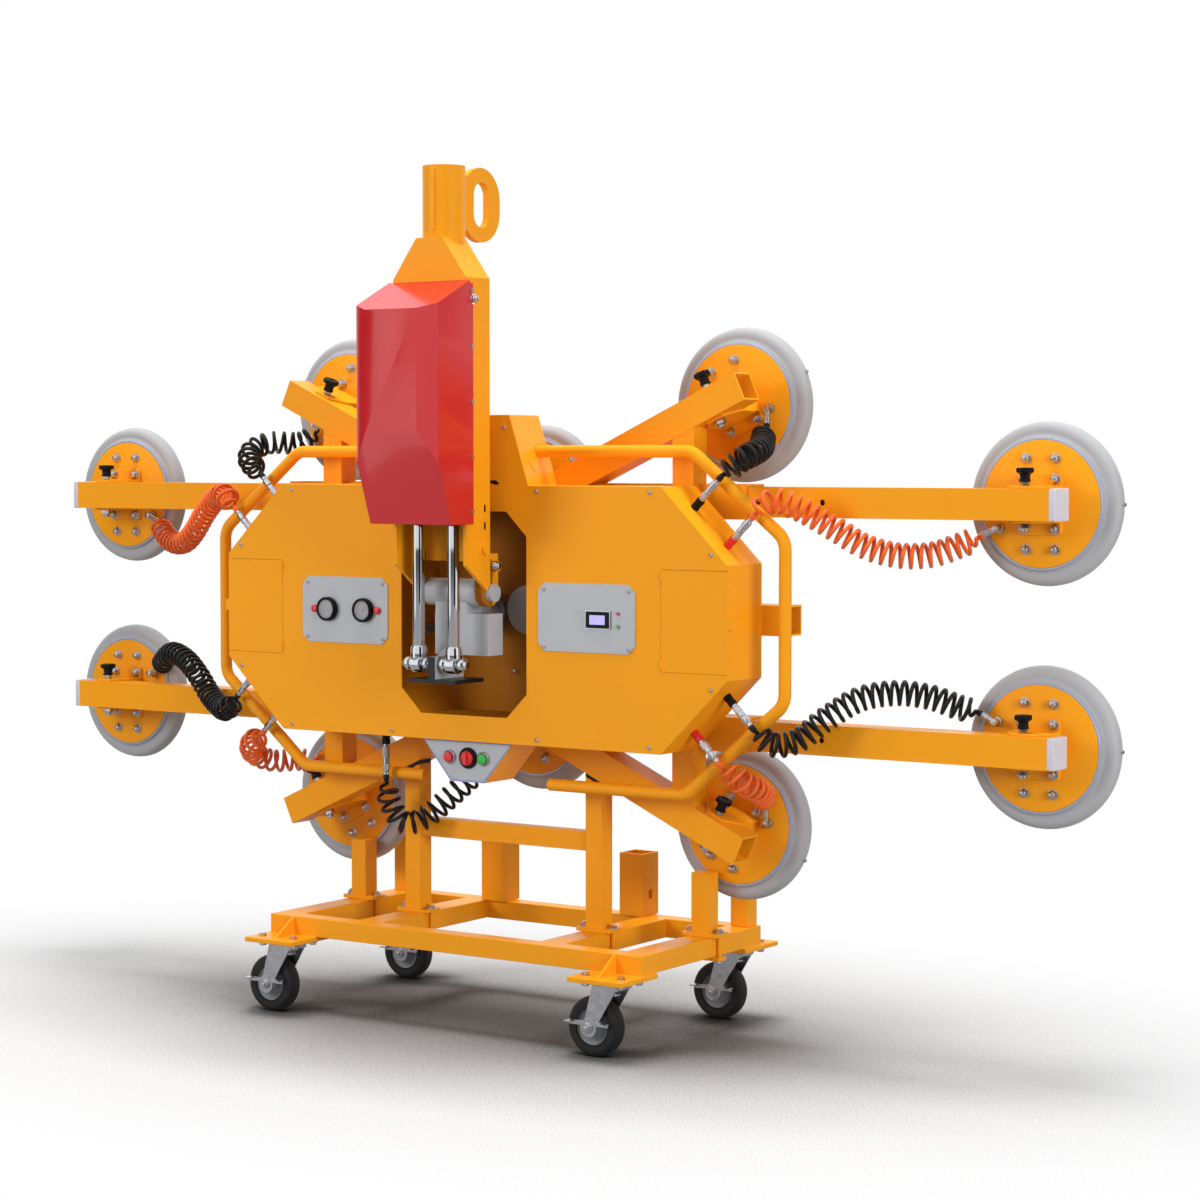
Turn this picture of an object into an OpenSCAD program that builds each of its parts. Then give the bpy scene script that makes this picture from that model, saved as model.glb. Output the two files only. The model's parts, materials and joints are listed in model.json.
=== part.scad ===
/* [Control box] */
// Overall width of the control box
box_w = 1274; // [1240:1:1290]
// Height of the control box
box_h = 526; // [510:1:540]
// Depth of the control box from its front face to its back wall
box_depth = 129.5; // [126:0.5:136]
// Height of the turning axis, which is the box centre, above the floor
axis_z = 859; // [855:1:880]
// Width cut from each corner of the box
corner_w = 153; // [140:1:165]
// Height cut from each corner of the box
corner_h = 151; // [140:1:165]
// Thickness of the sheet metal
sheet = 3; // [2:0.5:4]
// Width of the window in the front
window_w = 320; // [310:1:330]
// Height of the window in the front
window_h = 420; // [400:1:430]
// Corner cut of the window
window_cut = 50; // [40:1:60]
// Width of the raised top at its foot
hump_foot_w = 330; // [320:1:340]
// Width of the raised top at its crest
hump_crest_w = 236; // [220:1:250]
// Height of the raised top above the box
hump_h = 143; // [120:1:160]
// How much narrower the raised top is at its back
hump_draw_in = 38; // [20:1:50]
// Distance from the box centre to each door's hinge seam
door_seam_x = 484; // [478:1:500]
// Height of each door
door_h = 200; // [160:1:220]
// Seam round each door
door_gap = 0.5; // [0.4:0.1:1]

/* [Lifting frame] */
// Side of the square diagonal tubes and of the middle beam
tube = 60; // [56:1:62]
// Wall of the square tubes
tube_wall = 4; // [3:0.5:5]
// Slope of the diagonal tubes
diagonal_angle = 24.5; // [23:0.5:26]
// Reach of the diagonal tubes sideways
diagonal_reach = 582.5; // [575:0.5:590]
// Rise of the diagonal tubes' ends above the turning axis
diagonal_rise = 461; // [455:1:467]
// Side of the upright tubes behind the box
upright = 50; // [40:1:50]
// Distance of the upright tubes from the centre
upright_x = 452; // [445:0.5:455]
// Overall length of the middle beam
beam_l = 1384; // [1370:1:1400]
// Distance of each arm from the turning axis, up or down
arm_z = 232; // [228:1:236]
// Wall of the guide tubes that the arms slide in
guide_wall = 4.5; // [3:0.5:6]
// Clearance between an arm and its guide tube
guide_gap = 0.5; // [0.3:0.1:1]
// Half length of the guide tubes
guide_reach = 588; // [580:1:600]

/* [Sliding arms] */
// Side of the square arms
arm = 60; // [56:1:62]
// Reach of an arm's outer end from the centre
arm_reach = 1251; // [1240:1:1260]
// Length of an arm without its end cap
arm_l = 811; // [790:1:815]
// Length of the end cap
arm_cap_l = 40; // [30:1:50]
// Distance from an arm's end to its cup
arm_cup_in = 74.5; // [70:0.5:80]
// Diameter of the locking pin holes
arm_hole_d = 12; // [8:1:14]

/* [Suction cups] */
// Diameter of the cup plates
plate_d = 243; // [238:1:246]
// Thickness of the cup plates
plate_t = 6; // [5:0.5:8]
// Diameter of the rubber lip
lip_d = 313; // [305:1:320]
// Depth of the rubber skirt behind the plate
skirt_h = 30; // [26:1:34]
// Distance from the box front to the cup plates
plate_y = 252; // [248:1:256]
// Distance of the diagonal cups from the centre
diagonal_cup_x = 505; // [500:1:510]
// Width of the clamp saddle
saddle_w = 90; // [84:1:96]
// Margin of the saddle's foot plate outside its nuts
foot_edge = 12; // [12:1:15]
// Diameter of the dome nuts
dome_d = 17; // [14:1:20]

/* [Hoses] */
// Outer diameter of the hose tube
hose_d = 8; // [7:0.5:9]
// Outer diameter of the curls
curl_d = 52; // [44:1:54]
// Curls on each arm hose
arm_curls = 14; // [10:1:14]
// Curls on each short hose
short_curls = 5; // [3:1:5]
// Diameter of the hose couplers
coupler_d = 18; // [14:1:20]
// Length of a corner coupler
coupler_l = 80; // [70:1:84]
// Length of the upright couplers above and below the box
coupler_long = 91; // [80:1:96]
// Distance of the coupler row from the box front
coupler_y = 54; // [50:1:56]

/* [Bumper] */
// Diameter of the bumper tubes
bumper_d = 25; // [22:1:27]
// Distance of the bumper tubes from the box front
bumper_y = 82; // [80:1:86]
// Reach of the bumper tubes sideways
bumper_x = 718; // [710:1:730]
// Bend radius of the bumper tubes
bumper_bend = 45; // [35:1:60]

/* [Mast and head] */
// Width of the mast
mast_w = 184; // [178:1:188]
// Thickness of the mast's side plates
mast_plate = 8; // [6:1:8]
// Height of the mast's square part above the floor
mast_top = 1538; // [1530:1:1550]
// Diameter of the round tube on the mast
neck_d = 87; // [80:1:90]
// Height of the round tube's top above the floor
neck_top = 1766; // [1755:1:1775]
// Thickness of the lifting eye
eye_t = 15; // [12:1:20]
// Height of the tilt pivot above the turning axis
pivot_rise = 45; // [42:1:48]
// Diameter of the tilt pivot pin
pivot_d = 30; // [26:1:32]
// Diameter of the turning shaft
shaft_d = 50; // [44:1:54]
// Outer diameter of the turning bearing
bearing_d = 80; // [76:1:81]
// Running clearance of the pins and shafts
run_gap = 0.05; // [0.03:0.01:0.08]
// Diameter of the cylinder rods
rod_d = 25; // [22:1:28]
// Diameter of the cylinder barrels
barrel_d = 44; // [40:1:44]
// Distance of the rods from the centre
rod_x = 44.4; // [44:0.1:46]
// Height of the upper cylinder pin above the floor
upper_pin_z = 1480; // [1470:1:1485]
// Height of the lower rod pins above the floor
lower_pin_z = 760; // [755:1:765]
// Diameter of the cylinder pins
cylinder_pin_d = 16; // [14:1:18]
// Width of the red cover
cover_w = 206; // [204:1:214]

/* [Cart] */
// Overall width of the cart's rails
cart_w = 950; // [940:1:960]
// Width of the side rails
rail_w = 60; // [56:1:64]
// Height of all rails
rail_h = 40; // [36:1:44]
// Width of the front and rear rails
end_rail = 40; // [36:1:44]
// Distance of the front rail's front from the box front
cart_front = -55; // [-60:1:-50]
// Distance of the rear rail's back from the box front
cart_back = 399; // [395:1:405]
// Distance of the cross members from the centre
cross_x = 235; // [230:1:240]
// Thickness of the caster plates
pad_plate = 10; // [8:1:12]
// Side of the square posts
post = 40; // [36:1:42]
// Height of the outer posts' tops above the floor
outer_post_top = 335; // [300:1:340]
// Height of the bar between the tall posts above the floor
bar_z = 370; // [340:1:375]
// Side of the open sockets at the rear
socket = 60; // [56:1:62]
// Height of the sockets' tops above the floor
socket_top = 338; // [300:1:360]
// Thickness of the rubber rests
rest_t = 8; // [6:1:10]

/* [Casters] */
// Height of the casters
caster_h = 154; // [150:1:158]
// Diameter of the wheels
wheel_d = 120; // [112:1:122]
// Width of the wheels
wheel_w = 36; // [32:1:38]
// Trail of the casters
trail = 37; // [32:1:40]
// Distance of the caster pivots from the centre
caster_x = 416; // [412:1:420]
// Diameter of the axles
axle_d = 12; // [10:1:14]
// Diameter of the kingpins
kingpin_d = 20; // [16:1:22]

/* [Hidden] */
$fn = 40;

yellow = "#F2A01E";
metal = "#B9BCC2";
dark = "#1C1C1E";

// The caster plates reach furthest back and the cover furthest forward
pad_d = 130;
cover_front = -236;
caster_front_y = cart_front - 13;
caster_rear_y = cart_back - 5;
face_y = -(cover_front + caster_rear_y + pad_d / 2) / 2;

// Box outline
box_x = box_w / 2;
box_top = axis_z + box_h / 2;
box_bottom = axis_z - box_h / 2;
corner_l = norm([corner_w, corner_h]);
corner_along = [corner_w, -corner_h] / corner_l;
corner_out = [corner_h, corner_w] / corner_l;
frame_y = box_depth;
tan_d = tan(diagonal_angle);
half_v = tube / 2 / cos(diagonal_angle);
guide_out = arm + 2 * (guide_gap + guide_wall);
arm_y = frame_y + 54.5;
arm_front = arm_y - arm / 2;
cup_x = arm_reach - arm_cup_in;
diagonal_cup_z = diagonal_rise - (diagonal_reach - diagonal_cup_x) * tan_d;
diagonal_y = frame_y + tube / 2;

function cut(w, h, a, b, t) = let (n = norm([a, b]), k = b * w + a * h - a * b - t * n)
    [w - t, (k - b * (w - t)) / a, (k - a * (h - t)) / b, h - t];
function eight(c) = [[c[0], c[1]], [c[2], c[3]], [-c[2], c[3]], [-c[0], c[1]],
    [-c[0], -c[1]], [-c[2], -c[3]], [c[2], -c[3]], [c[0], -c[1]]];
function unit(v) = v / norm(v);

module place() {
    translate([0, face_y, 0])
        children();
}
module xz(y0, y1) {
    translate([0, y1, 0])
        rotate([90, 0, 0])
            linear_extrude(y1 - y0)
                children();
}
module yz(x0, x1) {
    translate([x0, 0, 0])
        rotate([90, 0, 90])
            linear_extrude(x1 - x0)
                children();
}
module bar_x(d, x0, x1, y, z) {
    translate([x0, y, z])
        rotate([0, 90, 0])
            cylinder(d = d, h = x1 - x0);
}
module bar_y(d, y0, y1, x, z) {
    translate([x, y1, z])
        rotate([90, 0, 0])
            cylinder(d = d, h = y1 - y0);
}
module bar_z(d, z0, z1, x, y) {
    translate([x, y, z0])
        cylinder(d = d, h = z1 - z0);
}
module block(x0, x1, y0, y1, z0, z1) {
    translate([x0, y0, z0])
        cube([x1 - x0, y1 - y0, z1 - z0]);
}
module both_sides() {
    children();
    mirror([1, 0, 0])
        children();
}
module up_and_down() {
    children();
    translate([0, 0, 2 * axis_z])
        mirror([0, 0, 1])
            children();
}
module strut(a, b, d) {
    v = b - a;
    translate(a)
        rotate([0, acos(v[2] / norm(v)), atan2(v[1], v[0])])
            cylinder(d = d, h = norm(v));
}

// Box: walls, back, window well and raised top
module box_outline(t) {
    translate([0, axis_z])
        polygon(eight(cut(box_x, box_h / 2, corner_w, corner_h, t)));
}
module window_outline(t) {
    translate([0, axis_z])
        polygon(eight(cut(window_w / 2, window_h / 2, window_cut, window_cut, t)));
}
module hump_outline() {
    polygon([[-hump_foot_w / 2, box_top], [hump_foot_w / 2, box_top],
        [hump_crest_w / 2, box_top + hump_h], [-hump_crest_w / 2, box_top + hump_h]]);
}
module hump_solid(t, y0, y1, z0) {
    f = hump_foot_w / 2 - t;
    c = hump_crest_w / 2 - t;
    n = hump_draw_in / 2;
    z1 = box_top + hump_h - t;
    polyhedron(points = [[-f, y0, z0], [f, y0, z0], [f - n, y1, z0], [n - f, y1, z0],
        [-c, y0, z1], [c, y0, z1], [c - n, y1, z1], [n - c, y1, z1]],
        faces = [[0, 1, 2], [0, 2, 3], [4, 6, 5], [4, 7, 6], [0, 5, 1], [0, 4, 5],
            [1, 6, 2], [1, 5, 6], [2, 7, 3], [2, 6, 7], [3, 4, 0], [3, 7, 4]]);
}
bearing_y0 = 88;
well_back = box_depth - sheet;
module enclosure_body() color(yellow) place() {
    difference() {
        xz(sheet, box_depth)
            box_outline(0);
        xz(sheet - 1, well_back)
            box_outline(sheet);
    }
    difference() {
        xz(sheet, well_back)
            window_outline(-sheet);
        xz(sheet - 1, well_back + 1)
            window_outline(0);
    }
    difference() {
        hump_solid(0, sheet, box_depth, box_top);
        hump_solid(sheet, sheet - 1, box_depth - sheet, box_top);
    }
}
// The doors turn on two round knuckles each, which stand in notches of the front panel
knuckle_d = 5;
knuckle_l = 14;
knuckle_in = 7;
module door_space(g) {
    translate([door_seam_x - g, axis_z - door_h / 2 - g])
        square([box_x - door_seam_x + 10, door_h + 2 * g]);
    for (z = [-door_h / 2 + knuckle_in, door_h / 2 - knuckle_in - knuckle_l])
        translate([door_seam_x - knuckle_d / 2 - g, axis_z + z - g])
            square([knuckle_d / 2 + g + 1, knuckle_l + 2 * g]);
}
module front_panel() color(yellow) place() difference() {
    xz(0, sheet) difference() {
        union() {
            box_outline(0);
            hump_outline();
        }
        window_outline(0);
        door_space(door_gap);
        mirror([1, 0])
            door_space(door_gap);
    }
    slot_w = 16;
    xz(-1, sheet + 1)
        translate([76, box_top + 2])
            square([slot_w, 4]);
}
screw_d = 9;
screw_h = 2.5;
corner_screw_in = 12;
side_screw_z = 131;
module enclosure_screws() color(metal) place() {
    both_sides() up_and_down() {
        bar_y(screw_d, -screw_h, 0, box_x - corner_w - 26, box_top - corner_screw_in);
        bar_y(screw_d, -screw_h, 0, box_x - 37, axis_z + side_screw_z);
        bar_y(screw_d, -screw_h, 0, window_w / 2 + 26, box_top - corner_screw_in);
    }
    bar_y(screw_d, -screw_h, 0, hump_crest_w / 2 - 12, box_top + hump_h - 26);
}

// Doors over the side bays of the box, hinged at the inner seam
latch_w = 9;
module door(side) color(yellow) place() mirror([side < 0 ? 1 : 0, 0, 0]) {
    block(door_seam_x, box_x, 0, sheet - 0.3, axis_z - door_h / 2, axis_z + door_h / 2);
    for (z = [-door_h / 2 + knuckle_in, door_h / 2 - knuckle_in - knuckle_l])
        bar_z(knuckle_d, axis_z + z, axis_z + z + knuckle_l, door_seam_x, 0);
    block(box_x, box_x + latch_w, 0, sheet, axis_z - 12, axis_z + 12);
    block(box_x + 0.3, box_x + latch_w, sheet, 16, axis_z - 12, axis_z + 12);
}
module door_left() door(-1);
module door_right() door(1);

// Plates and instruments on the front
plate_sheet = 2;
module notched(x0, x1, z0, z1, c) {
    polygon([[x0 + c, z0], [x1 - c, z0], [x1, z0 + c], [x1, z1 - c],
        [x1 - c, z1], [x0 + c, z1], [x0, z1 - c], [x0, z0 + c]]);
}
gauge_x = [-355, -258];
gauge_z = axis_z - 1;
module instrument_plates() color("#AEB4C0") place() {
    xz(-plate_sheet, 0)
        notched(-426, -195, axis_z - 72, axis_z + 68, 16);
    xz(-plate_sheet, 0)
        notched(190, 425, axis_z - 69, axis_z + 69, 16);
    for (x = [-411, -209, 204, 412])
        for (z = [-61, 55])
            bar_y(8, -plate_sheet - 2, -plate_sheet, x, axis_z + z);
}
gauge_d = 51;
module vacuum_gauges() color(dark) place() {
    for (x = gauge_x)
        difference() {
            bar_y(gauge_d, -plate_sheet - 12, -plate_sheet, x, gauge_z);
            bar_y(gauge_d - 8, -plate_sheet - 13, -plate_sheet - 8, x, gauge_z);
        }
    for (x = [gauge_x[0] - 45, gauge_x[1] + 40])
        bar_y(11, -plate_sheet - 4, -plate_sheet, x, gauge_z);
}
module display_unit() color("#3A3C4A") place() {
    difference() {
        block(308, 367, -plate_sheet - 4, -plate_sheet, axis_z - 18, axis_z + 13);
        block(313, 362, -plate_sheet - 5, -plate_sheet - 2, axis_z - 13, axis_z + 8);
    }
    for (z = [-15, 11])
        bar_y(9, -plate_sheet - 4, -plate_sheet, 385, axis_z + z);
}

// Control housing below the box, with its sloped panel and buttons
housing_top_w = 230;
housing_foot_w = 86;
housing_drop = 86;
panel_y = 17;
panel_t = 3;
housing_back = 115;
button_z = box_bottom - 36;
module housing_outline(t) {
    polygon([[-housing_top_w / 2 + t, box_bottom - t], [housing_top_w / 2 - t, box_bottom - t],
        [housing_foot_w / 2 - t / 2, box_bottom - housing_drop + t],
        [-housing_foot_w / 2 + t / 2, box_bottom - housing_drop + t]]);
}
module control_housing() color(yellow) place() difference() {
    xz(panel_y, housing_back)
        housing_outline(0);
    xz(panel_y - 1, housing_back - sheet)
        housing_outline(sheet * 1.5);
}
button_x = [-45, 42, 3];
button_d = [22, 22, 36];
stem_d = 12;
module control_panel() color("#BFC3D0") place() difference() {
    xz(panel_y - panel_t, panel_y)
        housing_outline(0);
    for (x = button_x)
        bar_y(stem_d + 2 * run_gap, panel_y - panel_t - 1, panel_y + 1, x, button_z);
}
button_stroke = 4;
module push_button(i) place() {
    face = panel_y - panel_t;
    bar_y(button_d[i], face - 12, face - button_stroke - 0.5, button_x[i], button_z);
    bar_y(stem_d, face - button_stroke - 1, face + 20, button_x[i], button_z);
}
module red_button() color("red") push_button(0);
module green_button() color("limegreen") push_button(1);
module rotary_switch() color(dark) place() {
    face = panel_y - panel_t;
    bar_y(button_d[2], face - 10, face - 0.3, button_x[2], button_z);
    block(button_x[2] - 6, button_x[2] + 6, face - 20, face - 9, button_z - 16, button_z + 16);
    bar_y(stem_d, face - 5, face + 20, button_x[2], button_z);
}

// Inside the box: bearing on the back wall, pump beside it, blower and battery on the floor
bearing_bolt_r = (shaft_d + bearing_d) / 4;
module rotary_bearing() color("#6E7278") place() difference() {
    bar_y(bearing_d, bearing_y0, well_back, 0, axis_z);
    bar_y(shaft_d + 2 * run_gap, bearing_y0 - 1, well_back + 1, 0, axis_z);
    for (a = [45 : 90 : 315])
        bar_y(5, bearing_y0 - 1, bearing_y0 + 8,
            bearing_bolt_r * cos(a), axis_z + bearing_bolt_r * sin(a));
}
pump_d = 100;
pump_x = bearing_d / 2 + 2 + pump_d / 2;
floor_z = box_bottom + sheet;
module vacuum_unit() color("#B8BDC8") place() {
    bar_y(pump_d, 96, well_back, pump_x, axis_z + 6);
    block(-430, -250, 24, well_back, floor_z, floor_z + 120);
    block(250, 400, 24, well_back, floor_z, floor_z + 70);
    bar_x(70, 250, 400, 75, floor_z + 90);
}

// Bumper tubes with rounded bends
bumper_top = axis_z + 332;
bumper_low = axis_z - 350;
bumper_in_top = hump_foot_w / 2 - (bumper_top - box_top) * (hump_foot_w - hump_crest_w) / 2 / hump_h - 11;
bumper_pts = [[bumper_in_top, bumper_top], [505, bumper_top], [bumper_x, axis_z + 161],
    [bumper_x, axis_z - 159], [490, bumper_low], [160, bumper_low]];
function turn(p, i) = let (a = p[i] - p[i - 1], b = p[i + 1] - p[i])
    atan2(a[0] * b[1] - a[1] * b[0], a * b);
function cut_back(p, i, r) = i == 0 || i == len(p) - 1 ? 0 : r * tan(abs(turn(p, i)) / 2);
bend_steps = 5;
// Points of a bent tube in the X-Z plane: straight runs joined by arcs of radius r
function bent(p, r) = [for (i = [0 : len(p) - 1]) let (n = cut_back(p, i, r)) each n == 0 ? [p[i]] :
    let (u = unit(p[i] - p[i - 1]), s = turn(p, i) > 0 ? 1 : -1, c = p[i] - n * u + s * r * [-u[1], u[0]],
        from = atan2(u[1], u[0]) - s * 90)
        [for (k = [0 : bend_steps]) let (g = from + turn(p, i) * k / bend_steps) c + r * [cos(g), sin(g)]]];
module bumper_tubes() color(yellow) place() both_sides()
    sweep([for (q = bent(bumper_pts, bumper_bend)) [q[0], bumper_y, q[1]]], bumper_d, 16);

// Frame behind the box
function diagonal_at(x) = diagonal_rise - (diagonal_reach - x) * tan_d;
module diagonal_tube(t, l) {
    translate([diagonal_reach, diagonal_y, axis_z + diagonal_rise])
        rotate([0, 90 - diagonal_angle - 90, 0])
            translate([-l, -tube / 2 + t, -tube / 2 + t])
                cube([l + (t > 0 ? 1 : 0), tube - 2 * t, tube - 2 * t]);
}
diagonal_l = diagonal_reach / cos(diagonal_angle);
module lifting_frame() color(yellow) place() {
    difference() {
        union() {
            both_sides() up_and_down()
                diagonal_tube(0, diagonal_l);
            both_sides()
                block(upright_x - upright / 2, upright_x + upright / 2, frame_y + 1, frame_y + upright,
                    axis_z - diagonal_at(upright_x), axis_z + diagonal_at(upright_x));
            up_and_down()
                block(-guide_reach, guide_reach, arm_y - guide_out / 2, arm_y + guide_out / 2,
                    axis_z + arm_z - guide_out / 2, axis_z + arm_z + guide_out / 2);
            block(-beam_l / 2, beam_l / 2, frame_y, frame_y + tube, axis_z - tube / 2, axis_z + tube / 2);
            both_sides()
                for (z = [bumper_top, bumper_low])
                    bar_y(14, bumper_y + bumper_d / 2 - 0.3, frame_y + 5, upright_x, z);
        }
        g = arm / 2 + guide_gap;
        both_sides() up_and_down() {
            block(240, guide_reach + 1, arm_y - g, arm_y + g, axis_z + arm_z - g, axis_z + arm_z + g);
            diagonal_tube(tube_wall, 110);
        }
        both_sides()
            block(upright_x + upright / 2 + 4, beam_l / 2 + 1, frame_y + tube_wall,
                frame_y + tube - tube_wall, axis_z - tube / 2 + tube_wall, axis_z + tube / 2 - tube_wall);
    }
}

// Suction cups, drawn round their own centre with the lips towards +Y
function skirt_pts() = [[plate_d / 2 - 4, 0], [plate_d / 2 + 6, 0], [lip_d / 2 - 10, skirt_h * 0.2],
    [lip_d / 2, skirt_h * 0.6], [lip_d / 2, skirt_h], [lip_d / 2 - 5, skirt_h],
    [lip_d / 2 - 7, skirt_h * 0.7], [lip_d / 2 - 15, skirt_h * 0.42], [plate_d / 2 + 5, skirt_h * 0.27],
    [plate_d / 2 - 4, skirt_h * 0.27]];
module cup_plate() {
    bar_y(plate_d, 0, plate_t, 0, 0);
    bar_y(plate_d - 8, plate_t, plate_t + skirt_h * 0.27, 0, 0);
}
module cup_skirt(tilt) rotate([0, -tilt, 0]) {
    translate([0, plate_t, 0])
        rotate([-90, 0, 0])
            rotate_extrude()
                polygon(skirt_pts());
    bar_x(5, lip_d / 2 - 3, lip_d / 2 + 5, plate_t + skirt_h * 0.75, 0);
}
ring_w = 4;
knob_d = 33;
nut_d = 26;
dome_x = 30;
dome_z = 86;
foot_t = 6;
module dome(x, z, y) {
    bar_y(dome_d + 5, y - 2, y, x, z);
    bar_y(dome_d, y - 8, y - 2, x, z);
    translate([x, y - 8, z])
        rotate([90, 0, 0])
            cylinder(d1 = dome_d, d2 = dome_d * 0.55, h = 5);
}
// Saddle that clamps the cup to a square tube whose back is back_gap in front of the plate
function foot_z(side) = side / 2 + 17;
module saddle(side, back_gap, deep) {
    h = side / 2;
    w = saddle_w / 2;
    s = 5;
    block(-w, w, -foot_t, 0, -foot_z(side) - foot_edge, foot_z(side) + foot_edge);
    block(-w, w, -back_gap, -foot_t, -h - s, h + s);
    for (k = [-1, 1])
        translate([0, 0, k > 0 ? h : -h - s])
            linear_extrude(s)
                polygon([[-w, -back_gap], [w, -back_gap], [w, -back_gap - 8], [20, -back_gap - deep],
                    [-20, -back_gap - deep], [-w, -back_gap - 8]]);
    for (x = [-33, 33])
        for (k = [-1, 1])
            dome(x, k * foot_z(side), -foot_t);
}
module knob(side, y, nut) {
    z = side / 2 + 5;
    bar_z(20, z, z + 8, 0, y);
    bar_z(22, z + 8, z + 24, 0, y);
    bar_z(knob_d, z + 24, z + 34, 0, y);
    if (nut) {
        bar_z(nut_d, -z - 10, -z, 0, y);
        bar_z(12, -z - 16, -z - 10, 0, y);
    }
}
// Elbow that carries the hose: base on the plate, barrel along the direction v
elbow_y = -16;
barrel_l = 30;
module elbow(x, z, v) {
    bar_y(20, -8, 0, x, z);
    bar_y(14, elbow_y - 8, -8, x, z);
    strut([x, elbow_y, z], [x, elbow_y, z] + barrel_l * [v[0], 0, v[1]], 12);
}
module cup_metal(side, back_gap, deep, tilt, up) {
    middle = side > max(tube, arm);
    difference() {
        bar_y(plate_d + 2 * ring_w, 2, plate_t, 0, 0);
        bar_y(plate_d, 1, plate_t + 1, 0, 0);
    }
    rotate([0, -tilt, 0]) {
        saddle(side, back_gap, deep);
        mirror([0, 0, up < 0 ? 1 : 0])
            knob(side, -back_gap - (middle ? deep / 2 : side / 2), !middle);
        for (x = [-dome_x, dome_x])
            for (z = [-dome_z, dome_z])
                dome(x, z, 0);
    }
}
elbow_x = 84;
elbow_z = 47;
elbow_dx = 78;
elbow_dz = 8;
arm_elbow_v = [0.9, 0.436];
mid_gap = plate_y - arm_y - guide_out / 2;
diagonal_gap = plate_y - frame_y - tube;
arm_gap = plate_y - arm_y - arm / 2;
module upper_or_lower(sz) {
    translate([0, 0, axis_z])
        mirror([0, 0, sz < 0 ? 1 : 0])
            children();
}
module at_diagonals(sz) {
    both_sides() upper_or_lower(sz)
        translate([diagonal_cup_x, plate_y, diagonal_cup_z])
            children();
}
module at_middle(sz) {
    upper_or_lower(sz)
        translate([0, plate_y, arm_z])
            children();
}
module fixed_cup_plates() color(yellow) place()
    for (sz = [1, -1]) {
        at_diagonals(sz)
            cup_plate();
        at_middle(sz)
            cup_plate();
    }
module fixed_cup_skirts() color("#D9D9D9") place()
    for (sz = [1, -1]) {
        at_diagonals(sz)
            cup_skirt(diagonal_angle);
        at_middle(sz)
            cup_skirt(0);
    }
module fixed_cup_brackets() color(metal) place()
    for (sz = [1, -1]) {
        at_diagonals(sz) {
            cup_metal(tube, diagonal_gap, 46, diagonal_angle, sz);
            elbow(elbow_dx, -elbow_dz, [0, -1]);
        }
        at_middle(sz) {
            cup_metal(guide_out, mid_gap, 28, 0, 1);
            elbow(-elbow_x, elbow_z, [0, 1]);
        }
    }

// Sliding arms with their cups
module at_arm(sx, sz) {
    translate([0, 0, axis_z])
        mirror([sx < 0 ? 1 : 0, 0, 0])
            mirror([0, 0, sz < 0 ? 1 : 0])
                translate([0, 0, arm_z])
                    children();
}
module sliding_arm(sx, sz) color(yellow) place() at_arm(sx, sz) {
    in_x = arm_reach - arm_cap_l - arm_l + 40;
    difference() {
        block(in_x, arm_reach - arm_cap_l, arm_front, arm_front + arm, -arm / 2, arm / 2);
        block(in_x - 1, arm_reach - arm_cap_l - 6, arm_front + tube_wall, arm_front + arm - tube_wall,
            -arm / 2 + tube_wall, arm / 2 - tube_wall);
        for (x = [guide_reach + 24, guide_reach + 170])
            bar_y(arm_hole_d, arm_front - 1, arm_front + arm + 1, x, 0);
    }
    block(arm_reach - arm_cap_l, arm_reach, arm_front, arm_front + arm, -arm / 2, arm / 2);
}
module arm_cup(sx, sz) color(yellow) place() at_arm(sx, sz) translate([cup_x, plate_y, 0]) {
    cup_plate();
    cup_metal(arm, arm_gap, 46, 0, sz);
    elbow(-elbow_x, -elbow_z, -arm_elbow_v);
}
module arm_skirt(sx, sz) color("#D9D9D9") place() at_arm(sx, sz)
    translate([cup_x, plate_y, 0])
        cup_skirt(0);
module arm_ul() sliding_arm(-1, 1);
module arm_ur() sliding_arm(1, 1);
module arm_ll() sliding_arm(-1, -1);
module arm_lr() sliding_arm(1, -1);
module arm_cup_ul() arm_cup(-1, 1);
module arm_cup_ur() arm_cup(1, 1);
module arm_cup_ll() arm_cup(-1, -1);
module arm_cup_lr() arm_cup(1, -1);
module arm_skirt_ul() arm_skirt(-1, 1);
module arm_skirt_ur() arm_skirt(1, 1);
module arm_skirt_ll() arm_skirt(-1, -1);
module arm_skirt_lr() arm_skirt(1, -1);

// Couplers square to the cut corners, and two upright ones
coupler_at = [61, 167];
function corner_pt(s) = [box_x - corner_w, box_h / 2] + s * corner_along;
function coupler_end(s) = corner_pt(s) + coupler_l * corner_out;
upright_coupler_x = -245;
module coupler(p, v, l) {
    a = [p[0], coupler_y, p[1]];
    d = [v[0], 0, v[1]];
    strut(a, a + 24 * d, coupler_d);
    strut(a + 24 * d, a + (l - 26) * d, coupler_d - 5);
    for (k = [28 : 6 : l - 34])
        strut(a + k * d, a + (k + 3) * d, coupler_d - 3);
    strut(a + (l - 26) * d, a + (l - 8) * d, coupler_d - 2);
    strut(a + (l - 8) * d, a + l * d, coupler_d - 6);
}
module hose_couplers() color(metal) place() {
    both_sides() up_and_down()
        translate([0, 0, axis_z])
            for (s = coupler_at)
                coupler(corner_pt(s), corner_out, coupler_l);
    translate([0, 0, axis_z])
        up_and_down_zero()
            coupler([upright_coupler_x, box_h / 2], [0, 1], coupler_long);
}
module up_and_down_zero() {
    children();
    mirror([0, 0, 1])
        children();
}

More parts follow.
